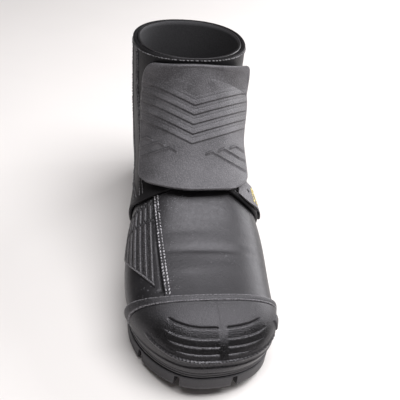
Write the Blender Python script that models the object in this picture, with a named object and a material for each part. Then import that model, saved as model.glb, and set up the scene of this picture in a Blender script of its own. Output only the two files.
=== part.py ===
import bmesh
import bpy
import numpy as np

# Welding boot for the left foot. All sizes below are millimetres; s runs from the back of the
# heel (0) to the toe tip, x is positive to the lateral side, z is up from the floor.
MILLIMETRE = 0.001
CLEARANCE = 0.3
MERGE_DISTANCE = 0.02

# Sole
SOLE_LENGTH = 305.0
TOE_INFLARE = 1.5
INFLARE_START = 115.0
MEDIAL_TOE_REACH = 74.0
LATERAL_TOE_REACH = 50.0
TOE_POWER = 2.3
HEEL_REACH = 44.0
HEEL_POWER = 2.2
ARCH_RISE = 9.0
HEEL_BREAST = 80.0
HEEL_BREAST_RUN = 9.0
ARCH_END = 116.0
ARCH_END_RUN = 34.0
TOE_SPRING = 11.0
SPRING_START = 226.0
HEEL_BEVEL = 2.5
HEEL_BEVEL_RUN = 14.0
MIDSOLE_SPRING_SHARE = 0.85

# Tread blocks
TOE_BLOCK_LENGTH = 40.0
BLOCKS_PER_SIDE = 8
SLOT_WIDTH = 5.4
SLOT_SLOPE = 0.8
SLOT_DEPTH = 11.0
PLATE_LEFT = 2.0
INNER_SLOT_DEPTH = 5.0
BLOCK_REACH = 17.0
CHANNEL_WIDTH = 4.0
EDGE_BREAK = 0.9
END_MARKS = (0.0, 0.3, 0.65)

# Midsole, insole
MIDSOLE_INSET = 0.6
MIDSOLE_GROOVE = 1.6
INSOLE_MARGIN = -9.5
INSOLE_THICKNESS = 4.0

# Upper
WALL = 2.2
FEATHER_MARGIN = -3.8
CAP_REACH = 48.0
CAP_POWER = 2.45
BELLY_TURN = 0.56
FOOT_POWER = 2.2

# Overlays
CAP_START = 262.5
CAP_CLEARANCE = 0.8
CAP_THICKNESS = 2.2
CAP_END_POWER = 0.85
CAP_MEDIAL_SWEEP = 7.5
CAP_LATERAL_SWEEP = 6.0
CAP_LEDGE_CLIMB = 0.13
CAP_LEDGE = 0.9
BEAD_GAP = 0.3
BEAD_WIDTH = 5.2
BEAD_MEDIAL_SPREAD = 5.0
BEAD_HEIGHT = 4.4
QUARTER_CLEARANCE = 0.6
QUARTER_THICKNESS = 3.4
FLAP_THICKNESS = 3.6
FLAP_HALF_WIDTH = 42.5
FLAP_MEDIAL_FLARE = 12.0
FLAP_LATERAL_FLARE = 26.0
FLAP_WING = 6.0
FLAP_CORNER = 11.0
FLAP_TOP_CORNER = 26.0
FLAP_START = 149.0
FLAP_END = 260.5
FLAP_MEDIAL_SWEEP = 0.0117
FLAP_LATERAL_SWEEP = 0.0066
FLAP_MIDDLE = -1.5
FLAP_STAND = 4.6
FLAP_LIFT = 4.0
PANEL_NEAR = 37.0
PANEL_FAR = 75.0
PANEL_RIBS = 8
PANEL_BASE = 1.6
PANEL_RIB_HEIGHT = 1.3
PANEL_START = 71.0
PANEL_START_SLANT = 48.0
PANEL_END = 150.0
STRAP_START = 47.0
STRAP_LENGTH = 18.5
STRAP_ALONG = 156.0
STRAP_DRIFT = -5.0
STRAP_WIDTH = 20.0
STRAP_STAND = 4.8
STRAP_BOW = 2.5
STRAP_THICKNESS = 1.8
RING_WIRE = 3.4
RING_REACH = 9.0
RING_STAND = 6.2

# Half widths of the sole each side of its curved axis
SOLE_COLUMNS = ("s", "medial", "lateral")
SOLE_ROWS = (
    (0.0, 40.0, 40.5),
    (40.0, 40.0, 41.0),
    (75.0, 38.5, 42.0),
    (110.0, 36.0, 44.0),
    (150.0, 42.5, 49.0),
    (190.0, 52.5, 56.0),
    (215.0, 55.5, 57.5),
    (245.0, 56.0, 57.0),
    (272.0, 52.5, 56.5),
    (305.0, 44.0, 56.0),
)

# Heights along the sole before the toe spring is added
LEVEL_COLUMNS = ("s", "outsole_top", "feather")
LEVEL_ROWS = (
    (0.0, 16.0, 33.0),
    (55.0, 15.5, 32.0),
    (105.0, 16.0, 29.0),
    (150.0, 14.5, 25.0),
    (190.0, 13.0, 22.5),
    (226.0, 13.0, 21.5),
    (305.0, 13.0, 21.5),
)

# Sections of the upper, a row for each. "run" is the way along the bottom edge from the toe,
# then up the back of the heel; "top_s" and "top_z" place the front of the same section.
SECTION_COLUMNS = ("run", "top_s", "top_z", "medial", "lateral", "belly", "crown")
SECTION_ROWS = (
    (0.0, 301.2, 56.0, 43.0, 57.0, 0.38, 2.50),
    (28.0, 273.2, 59.0, 52.0, 57.5, 0.38, 2.45),
    (54.0, 247.2, 63.5, 57.5, 57.5, 0.38, 2.40),
    (80.0, 221.2, 70.5, 59.0, 58.5, 0.38, 2.32),
    (107.0, 195.5, 80.5, 57.5, 59.0, 0.39, 2.25),
    (135.0, 172.0, 94.0, 53.0, 56.0, 0.40, 2.15),
    (165.0, 151.0, 110.5, 47.5, 50.5, 0.42, 2.08),
    (197.0, 134.0, 128.0, 44.0, 47.5, 0.44, 2.04),
    (231.0, 121.5, 144.0, 43.0, 46.5, 0.46, 2.03),
    (265.0, 113.5, 156.5, 43.0, 46.5, 0.48, 2.03),
    (291.0, 109.0, 164.5, 43.0, 46.5, 0.50, 2.05),
    (328.0, 106.0, 170.0, 43.5, 46.5, 0.50, 2.08),
    (368.0, 104.0, 174.5, 44.0, 46.5, 0.50, 2.12),
    (408.0, 103.0, 178.0, 44.5, 46.5, 0.50, 2.16),
    (437.4, 102.5, 180.5, 45.0, 46.5, 0.50, 2.20),
)

# Front edge of the quarters: a tab reaches forward under the lateral strap
QUARTER_COLUMNS = ("turn", "run")
QUARTER_ROWS = (
    (-1.0, 150.0),
    (-0.62, 151.0),
    (-0.43, 144.5),
    (-0.35, 139.6),
    (-0.26, 137.9),
    (0.0, 141.0),
    (0.17, 138.6),
    (0.25, 134.0),
    (0.34, 131.4),
    (0.44, 133.5),
    (0.6, 138.0),
    (1.0, 140.0),
)

# Back of the heel in side view
BACK_COLUMNS = ("rise", "s")
BACK_ROWS = ((0.0, 3.8), (22.0, 4.6), (60.0, 8.5), (100.0, 12.0), (140.0, 11.0))


def spline(knots, values):
    # Natural cubic through the knots, as a function of an array.
    x = np.asarray(knots, float)
    y = np.asarray(values, float)
    step = np.diff(x)
    system = np.eye(len(x))
    right = np.zeros(len(x))
    for i in range(1, len(x) - 1):
        system[i, i - 1 : i + 2] = step[i - 1], 2 * (step[i - 1] + step[i]), step[i]
        right[i] = 6 * ((y[i + 1] - y[i]) / step[i] - (y[i] - y[i - 1]) / step[i - 1])
    bend = np.linalg.solve(system, right)

    def at(where):
        q = np.clip(np.asarray(where, float), x[0], x[-1])
        i = np.clip(np.searchsorted(x, q) - 1, 0, len(x) - 2)
        a = (x[i + 1] - q) / step[i]
        b = (q - x[i]) / step[i]
        curve = ((a**3 - a) * bend[i] + (b**3 - b) * bend[i + 1]) * step[i] ** 2 / 6
        return a * y[i] + b * y[i + 1] + curve

    return at


def columns(names, rows):
    table = np.array(rows, float).T
    return {name: spline(table[0], column) for name, column in zip(names, table)}


SOLE = columns(SOLE_COLUMNS, SOLE_ROWS)
LEVEL = columns(LEVEL_COLUMNS, LEVEL_ROWS)
SECTION = columns(SECTION_COLUMNS, SECTION_ROWS)
BACK = columns(BACK_COLUMNS, BACK_ROWS)
QUARTER = columns(QUARTER_COLUMNS, QUARTER_ROWS)

TOE_TIP = SOLE_LENGTH + FEATHER_MARGIN
HEEL_END = -FEATHER_MARGIN
FEATHER_RUN = TOE_TIP - HEEL_END
COLLAR_RUN = SECTION_ROWS[-1][0]
CAP_RUN = TOE_TIP - CAP_START


def ease(t):
    t = np.clip(t, 0.0, 1.0)
    return t * t * (3.0 - 2.0 * t)


def end_round(distance, reach, power):
    # Share of the full width left at a distance from a rounded end.
    u = np.clip(distance / reach, 0.0, 1.0)
    return (1.0 - (1.0 - u) ** power) ** (1.0 / power)


def toe_round(distance, lateral):
    # The toe is fuller on its lateral side.
    return end_round(distance, np.where(lateral, LATERAL_TOE_REACH, MEDIAL_TOE_REACH), TOE_POWER)


def axis_x(s):
    # Middle line of the boot, turned to the medial side towards the toe.
    t = np.clip((s - INFLARE_START) / (SOLE_LENGTH - INFLARE_START), 0.0, None)
    return -TOE_INFLARE * t * t


def half_width(s, lateral, margin):
    # Half width of the sole outline grown by a margin.
    half = np.where(lateral, SOLE["lateral"](s), SOLE["medial"](s)) + margin
    toe = toe_round(SOLE_LENGTH + margin - s, lateral)
    heel = end_round(s + margin, HEEL_REACH, HEEL_POWER)
    return half * toe * heel


def spring(s):
    t = np.clip((s - SPRING_START) / (SOLE_LENGTH - SPRING_START), 0.0, None)
    return TOE_SPRING * t * t


def tread_z(s):
    # Underside of the boot: heel and forefoot on the floor, arch and toe raised.
    arch = ease((s - HEEL_BREAST) / HEEL_BREAST_RUN) * (1.0 - ease((s - ARCH_END) / ARCH_END_RUN))
    bevel = np.clip((HEEL_BEVEL_RUN - s) / HEEL_BEVEL_RUN, 0.0, 1.0)
    return ARCH_RISE * arch + spring(s) + HEEL_BEVEL * bevel * bevel


def outsole_top_z(s):
    return LEVEL["outsole_top"](s) + spring(s)


def feather_z(s):
    return LEVEL["feather"](s) + MIDSOLE_SPRING_SHARE * spring(s)


def base_line(run):
    # Bottom edge of the upper, then the back of the heel, in side view.
    rise = np.clip(run - FEATHER_RUN, 0.0, None)
    on_feather = run < FEATHER_RUN
    s = np.where(on_feather, TOE_TIP - run, BACK["s"](rise))
    z = np.where(on_feather, feather_z(s), feather_z(HEEL_END) + rise) + CLEARANCE
    return s, z


def level_share(run, turn):
    # Height in a section of the upper, from the bottom edge (0) to the crest (1).
    belly = SECTION["belly"](run)
    part = np.abs(turn)
    angle = np.clip(part / BELLY_TURN, 0.0, 1.0) * np.pi / 2
    tuck = np.sin(np.clip((part - BELLY_TURN) / (1.0 - BELLY_TURN), 0.0, 1.0) * np.pi / 2)
    arch = belly + (1.0 - belly) * np.cos(angle) ** (2.0 / SECTION["crown"](run))
    return np.where(part < BELLY_TURN, arch, belly * (1.0 - tuck))


def rear_sweep(level, lateral):
    # How far the cap's rear edge lies behind its crest at a level.
    return np.where(lateral, CAP_LATERAL_SWEEP, CAP_MEDIAL_SWEEP) * (1.0 - level**2)


def upper_surface(run, turn):
    # Outside of the upper. "turn" goes from the medial bottom edge (-1) over the crest (0) to
    # the lateral bottom edge (1); above the belly a superellipse, below it a tuck to the edge.
    run, turn = np.broadcast_arrays(np.asarray(run, float), np.asarray(turn, float))
    s_base, z_base = base_line(run)
    s_top = SECTION["top_s"](run)
    z_top = z_base + (SECTION["top_z"](run) - z_base) * end_round(run, CAP_REACH, CAP_POWER)
    lateral = turn > 0
    half = np.where(lateral, SECTION["lateral"](run), SECTION["medial"](run))
    half = np.maximum(half * toe_round(run, lateral), 1e-6)
    foot = np.where(run < FEATHER_RUN, half_width(s_base, lateral, FEATHER_MARGIN), 0.0)
    crown = 2.0 / SECTION["crown"](run)
    part = np.abs(turn)
    angle = np.clip(part / BELLY_TURN, 0.0, 1.0) * np.pi / 2
    tuck = np.sin(np.clip((part - BELLY_TURN) / (1.0 - BELLY_TURN), 0.0, 1.0) * np.pi / 2)
    lower = 1.0 - (1.0 - (foot / half) ** FOOT_POWER) * tuck**FOOT_POWER
    above = part < BELLY_TURN
    width = half * np.where(above, np.sin(angle) ** crown, np.maximum(lower, 0) ** (1 / FOOT_POWER))
    level = level_share(run, turn)
    s = s_base + (s_top - s_base) * level
    z = z_base + (z_top - z_base) * level
    return np.stack([axis_x(s) + np.sign(turn) * width, s, z], axis=-1)


def unit(vectors):
    return vectors / np.maximum(np.linalg.norm(vectors, axis=-1, keepdims=True), 1e-12)


def upper_normal(run, turn):
    # Outward direction of the upper, from small steps along its two parameters.
    run, turn = np.broadcast_arrays(np.asarray(run, float), np.asarray(turn, float))
    near, far = np.maximum(run - 0.05, 0.02), np.minimum(run + 0.05, COLLAR_RUN)
    left, right = np.maximum(turn - 0.002, -1.0), np.minimum(turn + 0.002, 1.0)
    along = upper_surface(far, turn) - upper_surface(near, turn)
    across = upper_surface(run, right) - upper_surface(run, left)
    return unit(np.cross(along, across))


def lifted(run, turn, lift):
    # Point a given height above the outside of the upper.
    lift = np.asarray(lift, float)
    return upper_surface(run, turn) + lift[..., None] * upper_normal(run, turn)


def crest_table():
    # Length along the crest and across each section, for placing pieces in millimetres.
    run = np.concatenate([np.linspace(0, 6, 25) ** 2, np.linspace(37, COLLAR_RUN, 180)])
    turn = np.linspace(-1.0, 1.0, 201)
    points = upper_surface(run[:, None], turn[None, :])
    crest = np.linalg.norm(np.diff(points[:, 100], axis=0), axis=-1)
    along = np.concatenate([[0.0], np.cumsum(crest)])
    girth = np.linalg.norm(np.diff(points, axis=1), axis=-1)
    across = np.concatenate([np.zeros((len(run), 1)), np.cumsum(girth, axis=1)], axis=1)
    across -= across[:, 100:101]
    ruler = np.linspace(-150.0, 150.0, 301)
    turns = np.array([np.interp(ruler, row, turn) for row in across])
    return run, along, ruler, turns


RUN_KNOTS, ALONG_KNOTS, ACROSS_KNOTS, TURN_TABLE = crest_table()


def place(along, across):
    # Section and turn of a point given by its length along the crest and across the section.
    along, across = np.broadcast_arrays(np.asarray(along, float), np.asarray(across, float))
    run = np.interp(along, ALONG_KNOTS, RUN_KNOTS)
    row = np.clip(np.searchsorted(RUN_KNOTS, run) - 1, 0, len(RUN_KNOTS) - 2)
    share = (run - RUN_KNOTS[row]) / (RUN_KNOTS[row + 1] - RUN_KNOTS[row])
    column = np.clip((across - ACROSS_KNOTS[0]), 0, len(ACROSS_KNOTS) - 1.001)
    cell = column.astype(int)
    part = column - cell
    near = TURN_TABLE[row, cell] * (1 - part) + TURN_TABLE[row, cell + 1] * part
    far = TURN_TABLE[row + 1, cell] * (1 - part) + TURN_TABLE[row + 1, cell + 1] * part
    return run, near * (1 - share) + far * share


def on_upper(along, across, lift):
    run, turn = place(along, across)
    return lifted(run, turn, np.broadcast_to(lift, run.shape))


def srgb(red, green, blue):
    share = np.array([red, green, blue]) / 255.0
    linear = np.where(share <= 0.04045, share / 12.92, ((share + 0.055) / 1.055) ** 2.4)
    return (*linear, 1.0)


def material(name, colour, roughness, metallic=0.0):
    made = bpy.data.materials.new(name)
    made.use_nodes = True
    shader = made.node_tree.nodes["Principled BSDF"]
    shader.inputs["Base Color"].default_value = colour
    shader.inputs["Roughness"].default_value = roughness
    shader.inputs["Metallic"].default_value = metallic
    made.diffuse_color = colour
    return made


def solid(name, points, faces, colour, roughness, metallic=0.0):
    # One closed named piece from points (x, s, z) and faces; the toe points along -Y.
    points = np.asarray(points, float)
    placed = np.stack([points[:, 0], -points[:, 1], points[:, 2]], axis=-1) * MILLIMETRE
    mesh = bpy.data.meshes.new(name)
    mesh.from_pydata(placed.tolist(), [], [list(map(int, face)) for face in faces])
    work = bmesh.new()
    work.from_mesh(mesh)
    bmesh.ops.remove_doubles(work, verts=work.verts, dist=MERGE_DISTANCE * MILLIMETRE)
    bmesh.ops.dissolve_degenerate(work, edges=work.edges, dist=1e-7)
    bmesh.ops.triangulate(work, faces=work.faces)
    bmesh.ops.recalc_face_normals(work, faces=work.faces)
    work.to_mesh(mesh)
    work.free()
    piece = bpy.data.objects.new(name, mesh)
    bpy.context.collection.objects.link(piece)
    mesh.materials.append(material(name, colour, roughness, metallic))
    return piece


def grid_faces(rows, cols, start, wrap=False):
    # Quads of a grid of points numbered row by row.
    quads = []
    for i in range(rows - 1):
        for j in range(cols if wrap else cols - 1):
            k = (j + 1) % cols
            a = start + i * cols
            b = start + (i + 1) * cols
            quads.append((a + j, a + k, b + k, b + j))
    return quads


def border(rows, cols):
    # Numbers of the points round the edge of a grid, in order.
    top = [j for j in range(cols)]
    right = [i * cols + cols - 1 for i in range(1, rows)]
    bottom = [(rows - 1) * cols + j for j in range(cols - 2, -1, -1)]
    left = [i * cols for i in range(rows - 2, 0, -1)]
    return top + right + bottom + left


def slab(lower, upper):
    # Closed body between two grids of the same size.
    rows, cols = lower.shape[:2]
    count = rows * cols
    faces = grid_faces(rows, cols, 0) + grid_faces(rows, cols, count)
    edge = border(rows, cols)
    for a, b in zip(edge, edge[1:] + edge[:1]):
        faces.append((a, b, count + b, count + a))
    points = np.concatenate([lower.reshape(-1, 3), upper.reshape(-1, 3)])
    return points, faces


def tube(loops):
    # Closed body of loops joined in order, the last joined to the first.
    rows, cols = loops.shape[:2]
    closed = np.concatenate([loops, loops[:1]])
    return closed.reshape(-1, 3), grid_faces(rows + 1, cols, 0, wrap=True)


def shell(outside, inside, closed_from, front_open):
    # Wall between two grids that is open at the collar and underneath. Rows from
    # "closed_from" meet at the back of the heel; the first row is a toe tip or a free edge.
    rows, cols = outside.shape[:2]
    count = rows * cols
    faces = grid_faces(rows, cols, 0) + grid_faces(rows, cols, count)
    for i in range(closed_from):
        a, b = i * cols, (i + 1) * cols
        faces.append((a, b, count + b, count + a))
        faces.append((a + cols - 1, b + cols - 1, count + b + cols - 1, count + a + cols - 1))
    last = (rows - 1) * cols
    for j in range(cols - 1):
        faces.append((last + j, last + j + 1, count + last + j + 1, count + last + j))
        if front_open:
            faces.append((j, j + 1, count + j + 1, count + j))
    points = np.concatenate([outside.reshape(-1, 3), inside.reshape(-1, 3)])
    return points, faces


def perimeter(margin=0.0, steps=360):
    # Closed outline of the sole from the toe tip along the lateral side and back.
    share = (1.0 + np.cos(np.linspace(0.0, np.pi, steps))) / 2
    s = -margin + (SOLE_LENGTH + 2 * margin) * share
    lateral = np.stack([axis_x(s) + half_width(s, True, margin), s], axis=-1)
    medial = np.stack([axis_x(s) - half_width(s, False, margin), s], axis=-1)
    return np.concatenate([lateral, medial[-2:0:-1]])


def outline_at(lengths, margin=0.0):
    # Points of the outline at lengths from the toe tip, and the outward direction there.
    loop = perimeter(margin)
    closed = np.concatenate([loop, loop[:1]])
    run = np.concatenate([[0.0], np.cumsum(np.linalg.norm(np.diff(closed, axis=0), axis=1))])

    def at(length):
        wrapped = np.mod(length, run[-1])
        return np.stack([np.interp(wrapped, run, closed[:, k]) for k in (0, 1)], axis=-1)

    tangent = unit(at(lengths + 1.5) - at(lengths - 1.5))
    outward = np.stack([tangent[:, 1], -tangent[:, 0]], axis=-1)
    middle = loop.mean(axis=0)
    if np.sum(outward[0] * (at(lengths)[0] - middle)) < 0:
        outward = -outward
    return at(lengths), outward


def outline_length(margin=0.0):
    loop = perimeter(margin)
    side = np.linalg.norm(np.diff(loop[:360], axis=0), axis=1).sum()
    other = np.linalg.norm(np.diff(np.concatenate([loop[359:], loop[:1]]), axis=0), axis=1).sum()
    return side, other


def cap_faces(s, start):
    # Triangles that close a loop: a ladder from the toe to the heel between its two sides.
    heel = int(np.argmin(s))
    count = len(s)
    lateral = list(range(heel + 1))
    medial = [0] + list(range(count - 1, heel - 1, -1))
    faces = []
    i = j = 0
    while i < len(lateral) - 1 or j < len(medial) - 1:
        step_i = i < len(lateral) - 1
        if step_i and j < len(medial) - 1:
            step_i = s[lateral[i + 1]] >= s[medial[j + 1]]
        third = lateral[i + 1] if step_i else medial[j + 1]
        face = {lateral[i], medial[j], third}
        if len(face) == 3:
            faces.append((start + lateral[i], start + medial[j], start + third))
        i, j = (i + 1, j) if step_i else (i, j + 1)
    return faces


def layer(name, rows, colour, roughness):
    # Closed body from loops round the sole, the first and last loops capped.
    loops = np.stack(rows)
    count = loops.shape[1]
    faces = grid_faces(loops.shape[0], count, 0, wrap=True)
    faces += cap_faces(loops[0, :, 1], 0)
    faces += cap_faces(loops[-1, :, 1], (loops.shape[0] - 1) * count)
    return solid(name, loops.reshape(-1, 3), faces, colour, roughness)


def raise_to(points, heights):
    return np.concatenate([points, np.asarray(heights)[:, None]], axis=1)


def block_lengths():
    # Lengths round the outline of the ends of each tread block, and 1 where a slot is cut.
    lengths, cut = [], []
    for total, sign in zip(outline_length(), (1, -1)):
        first = TOE_BLOCK_LENGTH / 2
        pitch = (total - 2 * first) / BLOCKS_PER_SIDE
        marks = [(first * share, 0.0) for share in END_MARKS]
        for n in range(BLOCKS_PER_SIDE + 1):
            edge = first + n * pitch
            marks += [(edge, 0.0), (edge + SLOT_SLOPE, 1.0)]
            marks += [(edge + SLOT_WIDTH - SLOT_SLOPE, 1.0), (edge + SLOT_WIDTH, 0.0)]
            if n < BLOCKS_PER_SIDE:
                marks += [(edge + (pitch + SLOT_WIDTH) / 2, 0.0)]
        marks += [(total - first * share, 0.0) for share in END_MARKS[:0:-1]]
        if sign > 0:
            marks += [(total, 0.0)]
        else:
            marks = marks[1:]
        lengths += [sign * length for length, _ in marks]
        cut += [flag for _, flag in marks]
    whole = sum(outline_length())
    lengths = np.mod(np.array(lengths), whole)
    order = np.argsort(lengths)
    return lengths[order], np.array(cut)[order]


def build_outsole():
    # Rubber tread: a plate with blocks round the edge, a channel, and bars inside it.
    lengths, cut = block_lengths()
    edge, outward = outline_at(lengths)

    def inset(distance):
        return edge - outward * distance

    def under(points, depth, waist):
        s = points[:, 1]
        room = outsole_top_z(s) - tread_z(s) - PLATE_LEFT
        return raise_to(points, tread_z(s) + np.minimum(depth, np.maximum(room * waist, 0.0)))

    side_cut = cut * SLOT_DEPTH
    inner_cut = cut * INNER_SLOT_DEPTH
    channel = np.full(len(cut), INNER_SLOT_DEPTH)
    rows = [
        raise_to(inset(EDGE_BREAK), outsole_top_z(inset(EDGE_BREAK)[:, 1])),
        raise_to(edge, outsole_top_z(edge[:, 1]) - EDGE_BREAK),
        under(edge, side_cut + EDGE_BREAK, 1.0),
        under(inset(EDGE_BREAK), side_cut, 1.0),
        under(inset(BLOCK_REACH), inner_cut, 0.8),
        under(inset(BLOCK_REACH + SLOT_SLOPE), channel, 0.8),
        under(inset(BLOCK_REACH + CHANNEL_WIDTH), channel, 0.8),
        under(inset(BLOCK_REACH + CHANNEL_WIDTH + SLOT_SLOPE), np.zeros(len(cut)), 1.0),
    ]
    return layer("outsole", rows, srgb(46, 46, 47), 0.62)


def build_midsole():
    # Band between tread and upper, with a groove along its top and bottom edges.
    lengths = np.linspace(0.0, sum(outline_length()), 64, endpoint=False)
    edge, outward = outline_at(lengths)

    def ring(inset_by, share, lift):
        points = edge - outward * inset_by
        low = outsole_top_z(points[:, 1]) + CLEARANCE
        high = feather_z(points[:, 1])
        return raise_to(points, low + (high - low) * share + lift)

    rows = [
        ring(MIDSOLE_INSET + MIDSOLE_GROOVE, 0.0, 0.0),
        ring(MIDSOLE_INSET + MIDSOLE_GROOVE, 0.0, 0.6),
        ring(MIDSOLE_INSET, 0.0, 1.3),
        ring(MIDSOLE_INSET, 1.0, -1.1),
        ring(MIDSOLE_INSET + MIDSOLE_GROOVE * 0.6, 1.0, -0.4),
        ring(MIDSOLE_INSET + MIDSOLE_GROOVE * 0.6, 1.0, 0.0),
    ]
    return layer("midsole", rows, srgb(40, 40, 42), 0.6)


def build_insole():
    lengths = np.linspace(0.0, sum(outline_length(INSOLE_MARGIN)), 56, endpoint=False)
    edge, _ = outline_at(lengths, INSOLE_MARGIN)
    floor = feather_z(edge[:, 1]) + CLEARANCE
    rows = [raise_to(edge, floor), raise_to(edge, floor + INSOLE_THICKNESS)]
    return layer("insole", rows, srgb(70, 70, 74), 0.9)


def side_turns(crest_steps, foot_steps):
    # Turns from edge to edge with the crest, belly and bottom edge on the list.
    crest = np.linspace(0.0, BELLY_TURN, crest_steps + 1)
    foot = np.linspace(BELLY_TURN, 1.0, foot_steps + 1)[1:]
    half = np.concatenate([crest, foot])
    return np.concatenate([-half[:0:-1], half])


def build_upper():
    toe = np.array([0.0, 0.4, 1.4, 3.2, 6.0, 10.0, 15.5, 22.5, 30.0])
    foot = np.linspace(39.0, 262.0, 14)
    heel = FEATHER_RUN - np.array([22.0, 13.0, 6.5, 2.0, 0.0])
    shaft = np.linspace(FEATHER_RUN, COLLAR_RUN, 8)[1:]
    run = np.concatenate([toe, foot, heel, shaft])
    turn = side_turns(7, 5)
    grid_run, grid_turn = np.meshgrid(run, turn, indexing="ij")
    outside = upper_surface(grid_run, grid_turn)
    inside = lifted(grid_run, grid_turn, np.full(grid_run.shape, -WALL))
    closed_from = len(toe) + len(foot) + len(heel) - 1
    for edge in (0, -1):
        inside[: closed_from + 1, edge, 2] = outside[: closed_from + 1, edge, 2]
    inside[0] = outside[0, 0] - (0.0, WALL, 0.0)
    inside[..., 2] = np.maximum(inside[..., 2], feather_z(inside[..., 1]) + CLEARANCE)
    back = (inside[closed_from:, 0] + inside[closed_from:, -1]) / 2
    back[:, 0] = outside[closed_from:, 0, 0]
    inside[closed_from:, 0] = back
    inside[closed_from:, -1] = back
    points, faces = shell(outside, inside, closed_from, False)
    return solid("upper", points, faces, srgb(38, 38, 41), 0.42)


def build_quarters():
    # Thick rear leather over the upper; its cut front edge crosses the instep and both sides.
    turn = side_turns(7, 5)
    share = 1.0 - np.linspace(1.0, 0.0, 13) ** 2
    front = QUARTER["run"](turn)
    foot = front[None, :] + (FEATHER_RUN - front)[None, :] * share[:, None]
    heel_share = np.linspace(0.0, 1.0, 7)[1:]
    shaft = FEATHER_RUN + (COLLAR_RUN - FEATHER_RUN) * heel_share
    run = np.concatenate([foot, np.repeat(shaft[:, None], len(turn), axis=1)])
    turns = np.repeat(turn[None, :], len(run), axis=0)
    inside = lifted(run, turns, np.full(run.shape, QUARTER_CLEARANCE))
    outside = lifted(run, turns, np.full(run.shape, QUARTER_CLEARANCE + QUARTER_THICKNESS))
    closed_from = len(share) - 1
    for grid in (inside, outside):
        for edge in (0, -1):
            grid[: closed_from + 1, edge, 2] = base_line(run[: closed_from + 1, edge])[1]
        back = (grid[closed_from:, 0] + grid[closed_from:, -1]) / 2
        back[:, 0] = 0.0
        grid[closed_from:, 0] = back
        grid[closed_from:, -1] = back
    points, faces = shell(outside, inside, closed_from, True)
    return solid("quarters", points, faces, srgb(34, 34, 36), 0.48)


def toe_height(run):
    # Height of the crest over the bottom edge, for the upright sections of the toe.
    return (SECTION["top_z"](run) - base_line(run)[1]) * end_round(run, CAP_REACH, CAP_POWER)


def toe_width(run, height, lateral):
    # Half width of the toe at a height above its bottom edge.
    level = np.clip(height / np.maximum(toe_height(run), 1e-6), 0.0, 1.0)
    half = np.where(lateral, SECTION["lateral"](run), SECTION["medial"](run))
    half = np.maximum(half * toe_round(run, lateral), 1e-6)
    foot = half_width(TOE_TIP - run, lateral, FEATHER_MARGIN) / half
    belly = SECTION["belly"](run)
    crown = SECTION["crown"](run)
    high = np.clip((level - belly) / (1.0 - belly), 0.0, 1.0)
    low = np.clip((belly - level) / belly, 0.0, 1.0)
    arch = (1.0 - high**crown) ** (1.0 / crown)
    tuck = (1.0 - (1.0 - foot**FOOT_POWER) * low**FOOT_POWER) ** (1.0 / FOOT_POWER)
    return half * np.where(level > belly, arch, tuck)


def cap_surface(climb, turn):
    # Toe of the upper as lines that wrap round it: "climb" goes from the bottom edge (0) to
    # the crest where the cap ends (1), "turn" from its medial end (-1) to its lateral end (1).
    climb, turn = np.broadcast_arrays(np.asarray(climb, float), np.asarray(turn, float))
    front_run = CAP_RUN * climb**2
    front_height = toe_height(front_run)
    way = turn * turn
    end_level = climb**CAP_END_POWER
    end_run = CAP_RUN + rear_sweep(end_level, turn > 0)
    run = front_run + (end_run - front_run) * way
    height = front_height + (toe_height(end_run) * end_level - front_height) * way
    x = axis_x(TOE_TIP - run) + np.sign(turn) * toe_width(run, height, turn > 0)
    return np.stack([x, TOE_TIP - run, base_line(run)[1] + height], axis=-1)


def cap_lifted(climb, turn, lift):
    near, far = np.maximum(climb - 0.004, 0.0), np.minimum(climb + 0.004, 1.0)
    left, right = np.maximum(turn - 0.004, -1.0), np.minimum(turn + 0.004, 1.0)
    up = cap_surface(far, turn) - cap_surface(near, turn)
    round_toe = cap_surface(climb, right) - cap_surface(climb, left)
    normal = unit(np.cross(up, round_toe))
    points = cap_surface(climb, turn) + lift[..., None] * normal
    crest = climb > 0.995
    points[crest] = lifted(CAP_RUN, 0.0, lift[crest])
    points[..., 2] = np.maximum(points[..., 2], feather_z(points[..., 1]) + CLEARANCE)
    return points


def build_toe_cap():
    # Moulded cap over the toe, thicker along the ledge at its foot.
    ledge = CAP_LEDGE_CLIMB
    foot = np.array([0.0, ledge * 0.5, ledge, ledge + 0.03])
    dome = np.linspace(0.24, 0.88, 7)
    climb = np.concatenate([foot, dome, np.array([0.94, 0.975, 1.0])])
    turn = np.linspace(-1.0, 1.0, 27)
    climbs, turns = np.meshgrid(climb, turn, indexing="ij")
    step = np.where(climbs <= ledge + 0.001, CAP_LEDGE, 0.0)
    inside = cap_lifted(climbs, turns, np.full(climbs.shape, CAP_CLEARANCE))
    outside = cap_lifted(climbs, turns, CAP_CLEARANCE + CAP_THICKNESS + step)
    points, faces = slab(inside, outside)
    return solid("toe_cap", points, faces, srgb(44, 43, 45), 0.58)


def build_toe_bead():
    # Rounded bead along the rear edge of the cap, wider towards the medial sole.
    share = np.array([0.0, 0.12, 0.35, 0.65, 0.88, 1.0])
    round_off = np.array([0.55, 0.85, 1.0, 1.0, 0.8, 0.45])
    shares, turns = np.meshgrid(share, side_turns(9, 5), indexing="ij")
    level = level_share(np.full(turns.shape, CAP_RUN), turns)
    spread = np.where(turns < 0, BEAD_MEDIAL_SPREAD, 0.0) * (1.0 - level**2)
    runs = CAP_RUN + BEAD_GAP + rear_sweep(level, turns > 0) + (BEAD_WIDTH + spread) * shares
    low = lifted(runs, turns, np.full(runs.shape, CLEARANCE))
    high = lifted(runs, turns, CLEARANCE + BEAD_HEIGHT * round_off[:, None] * np.ones(runs.shape))
    for grid in (low, high):
        grid[..., 2] = np.maximum(grid[..., 2], feather_z(grid[..., 1]) + CLEARANCE)
    points, faces = slab(low, high)
    return solid("toe_bead", points, faces, srgb(48, 47, 49), 0.5)


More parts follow.
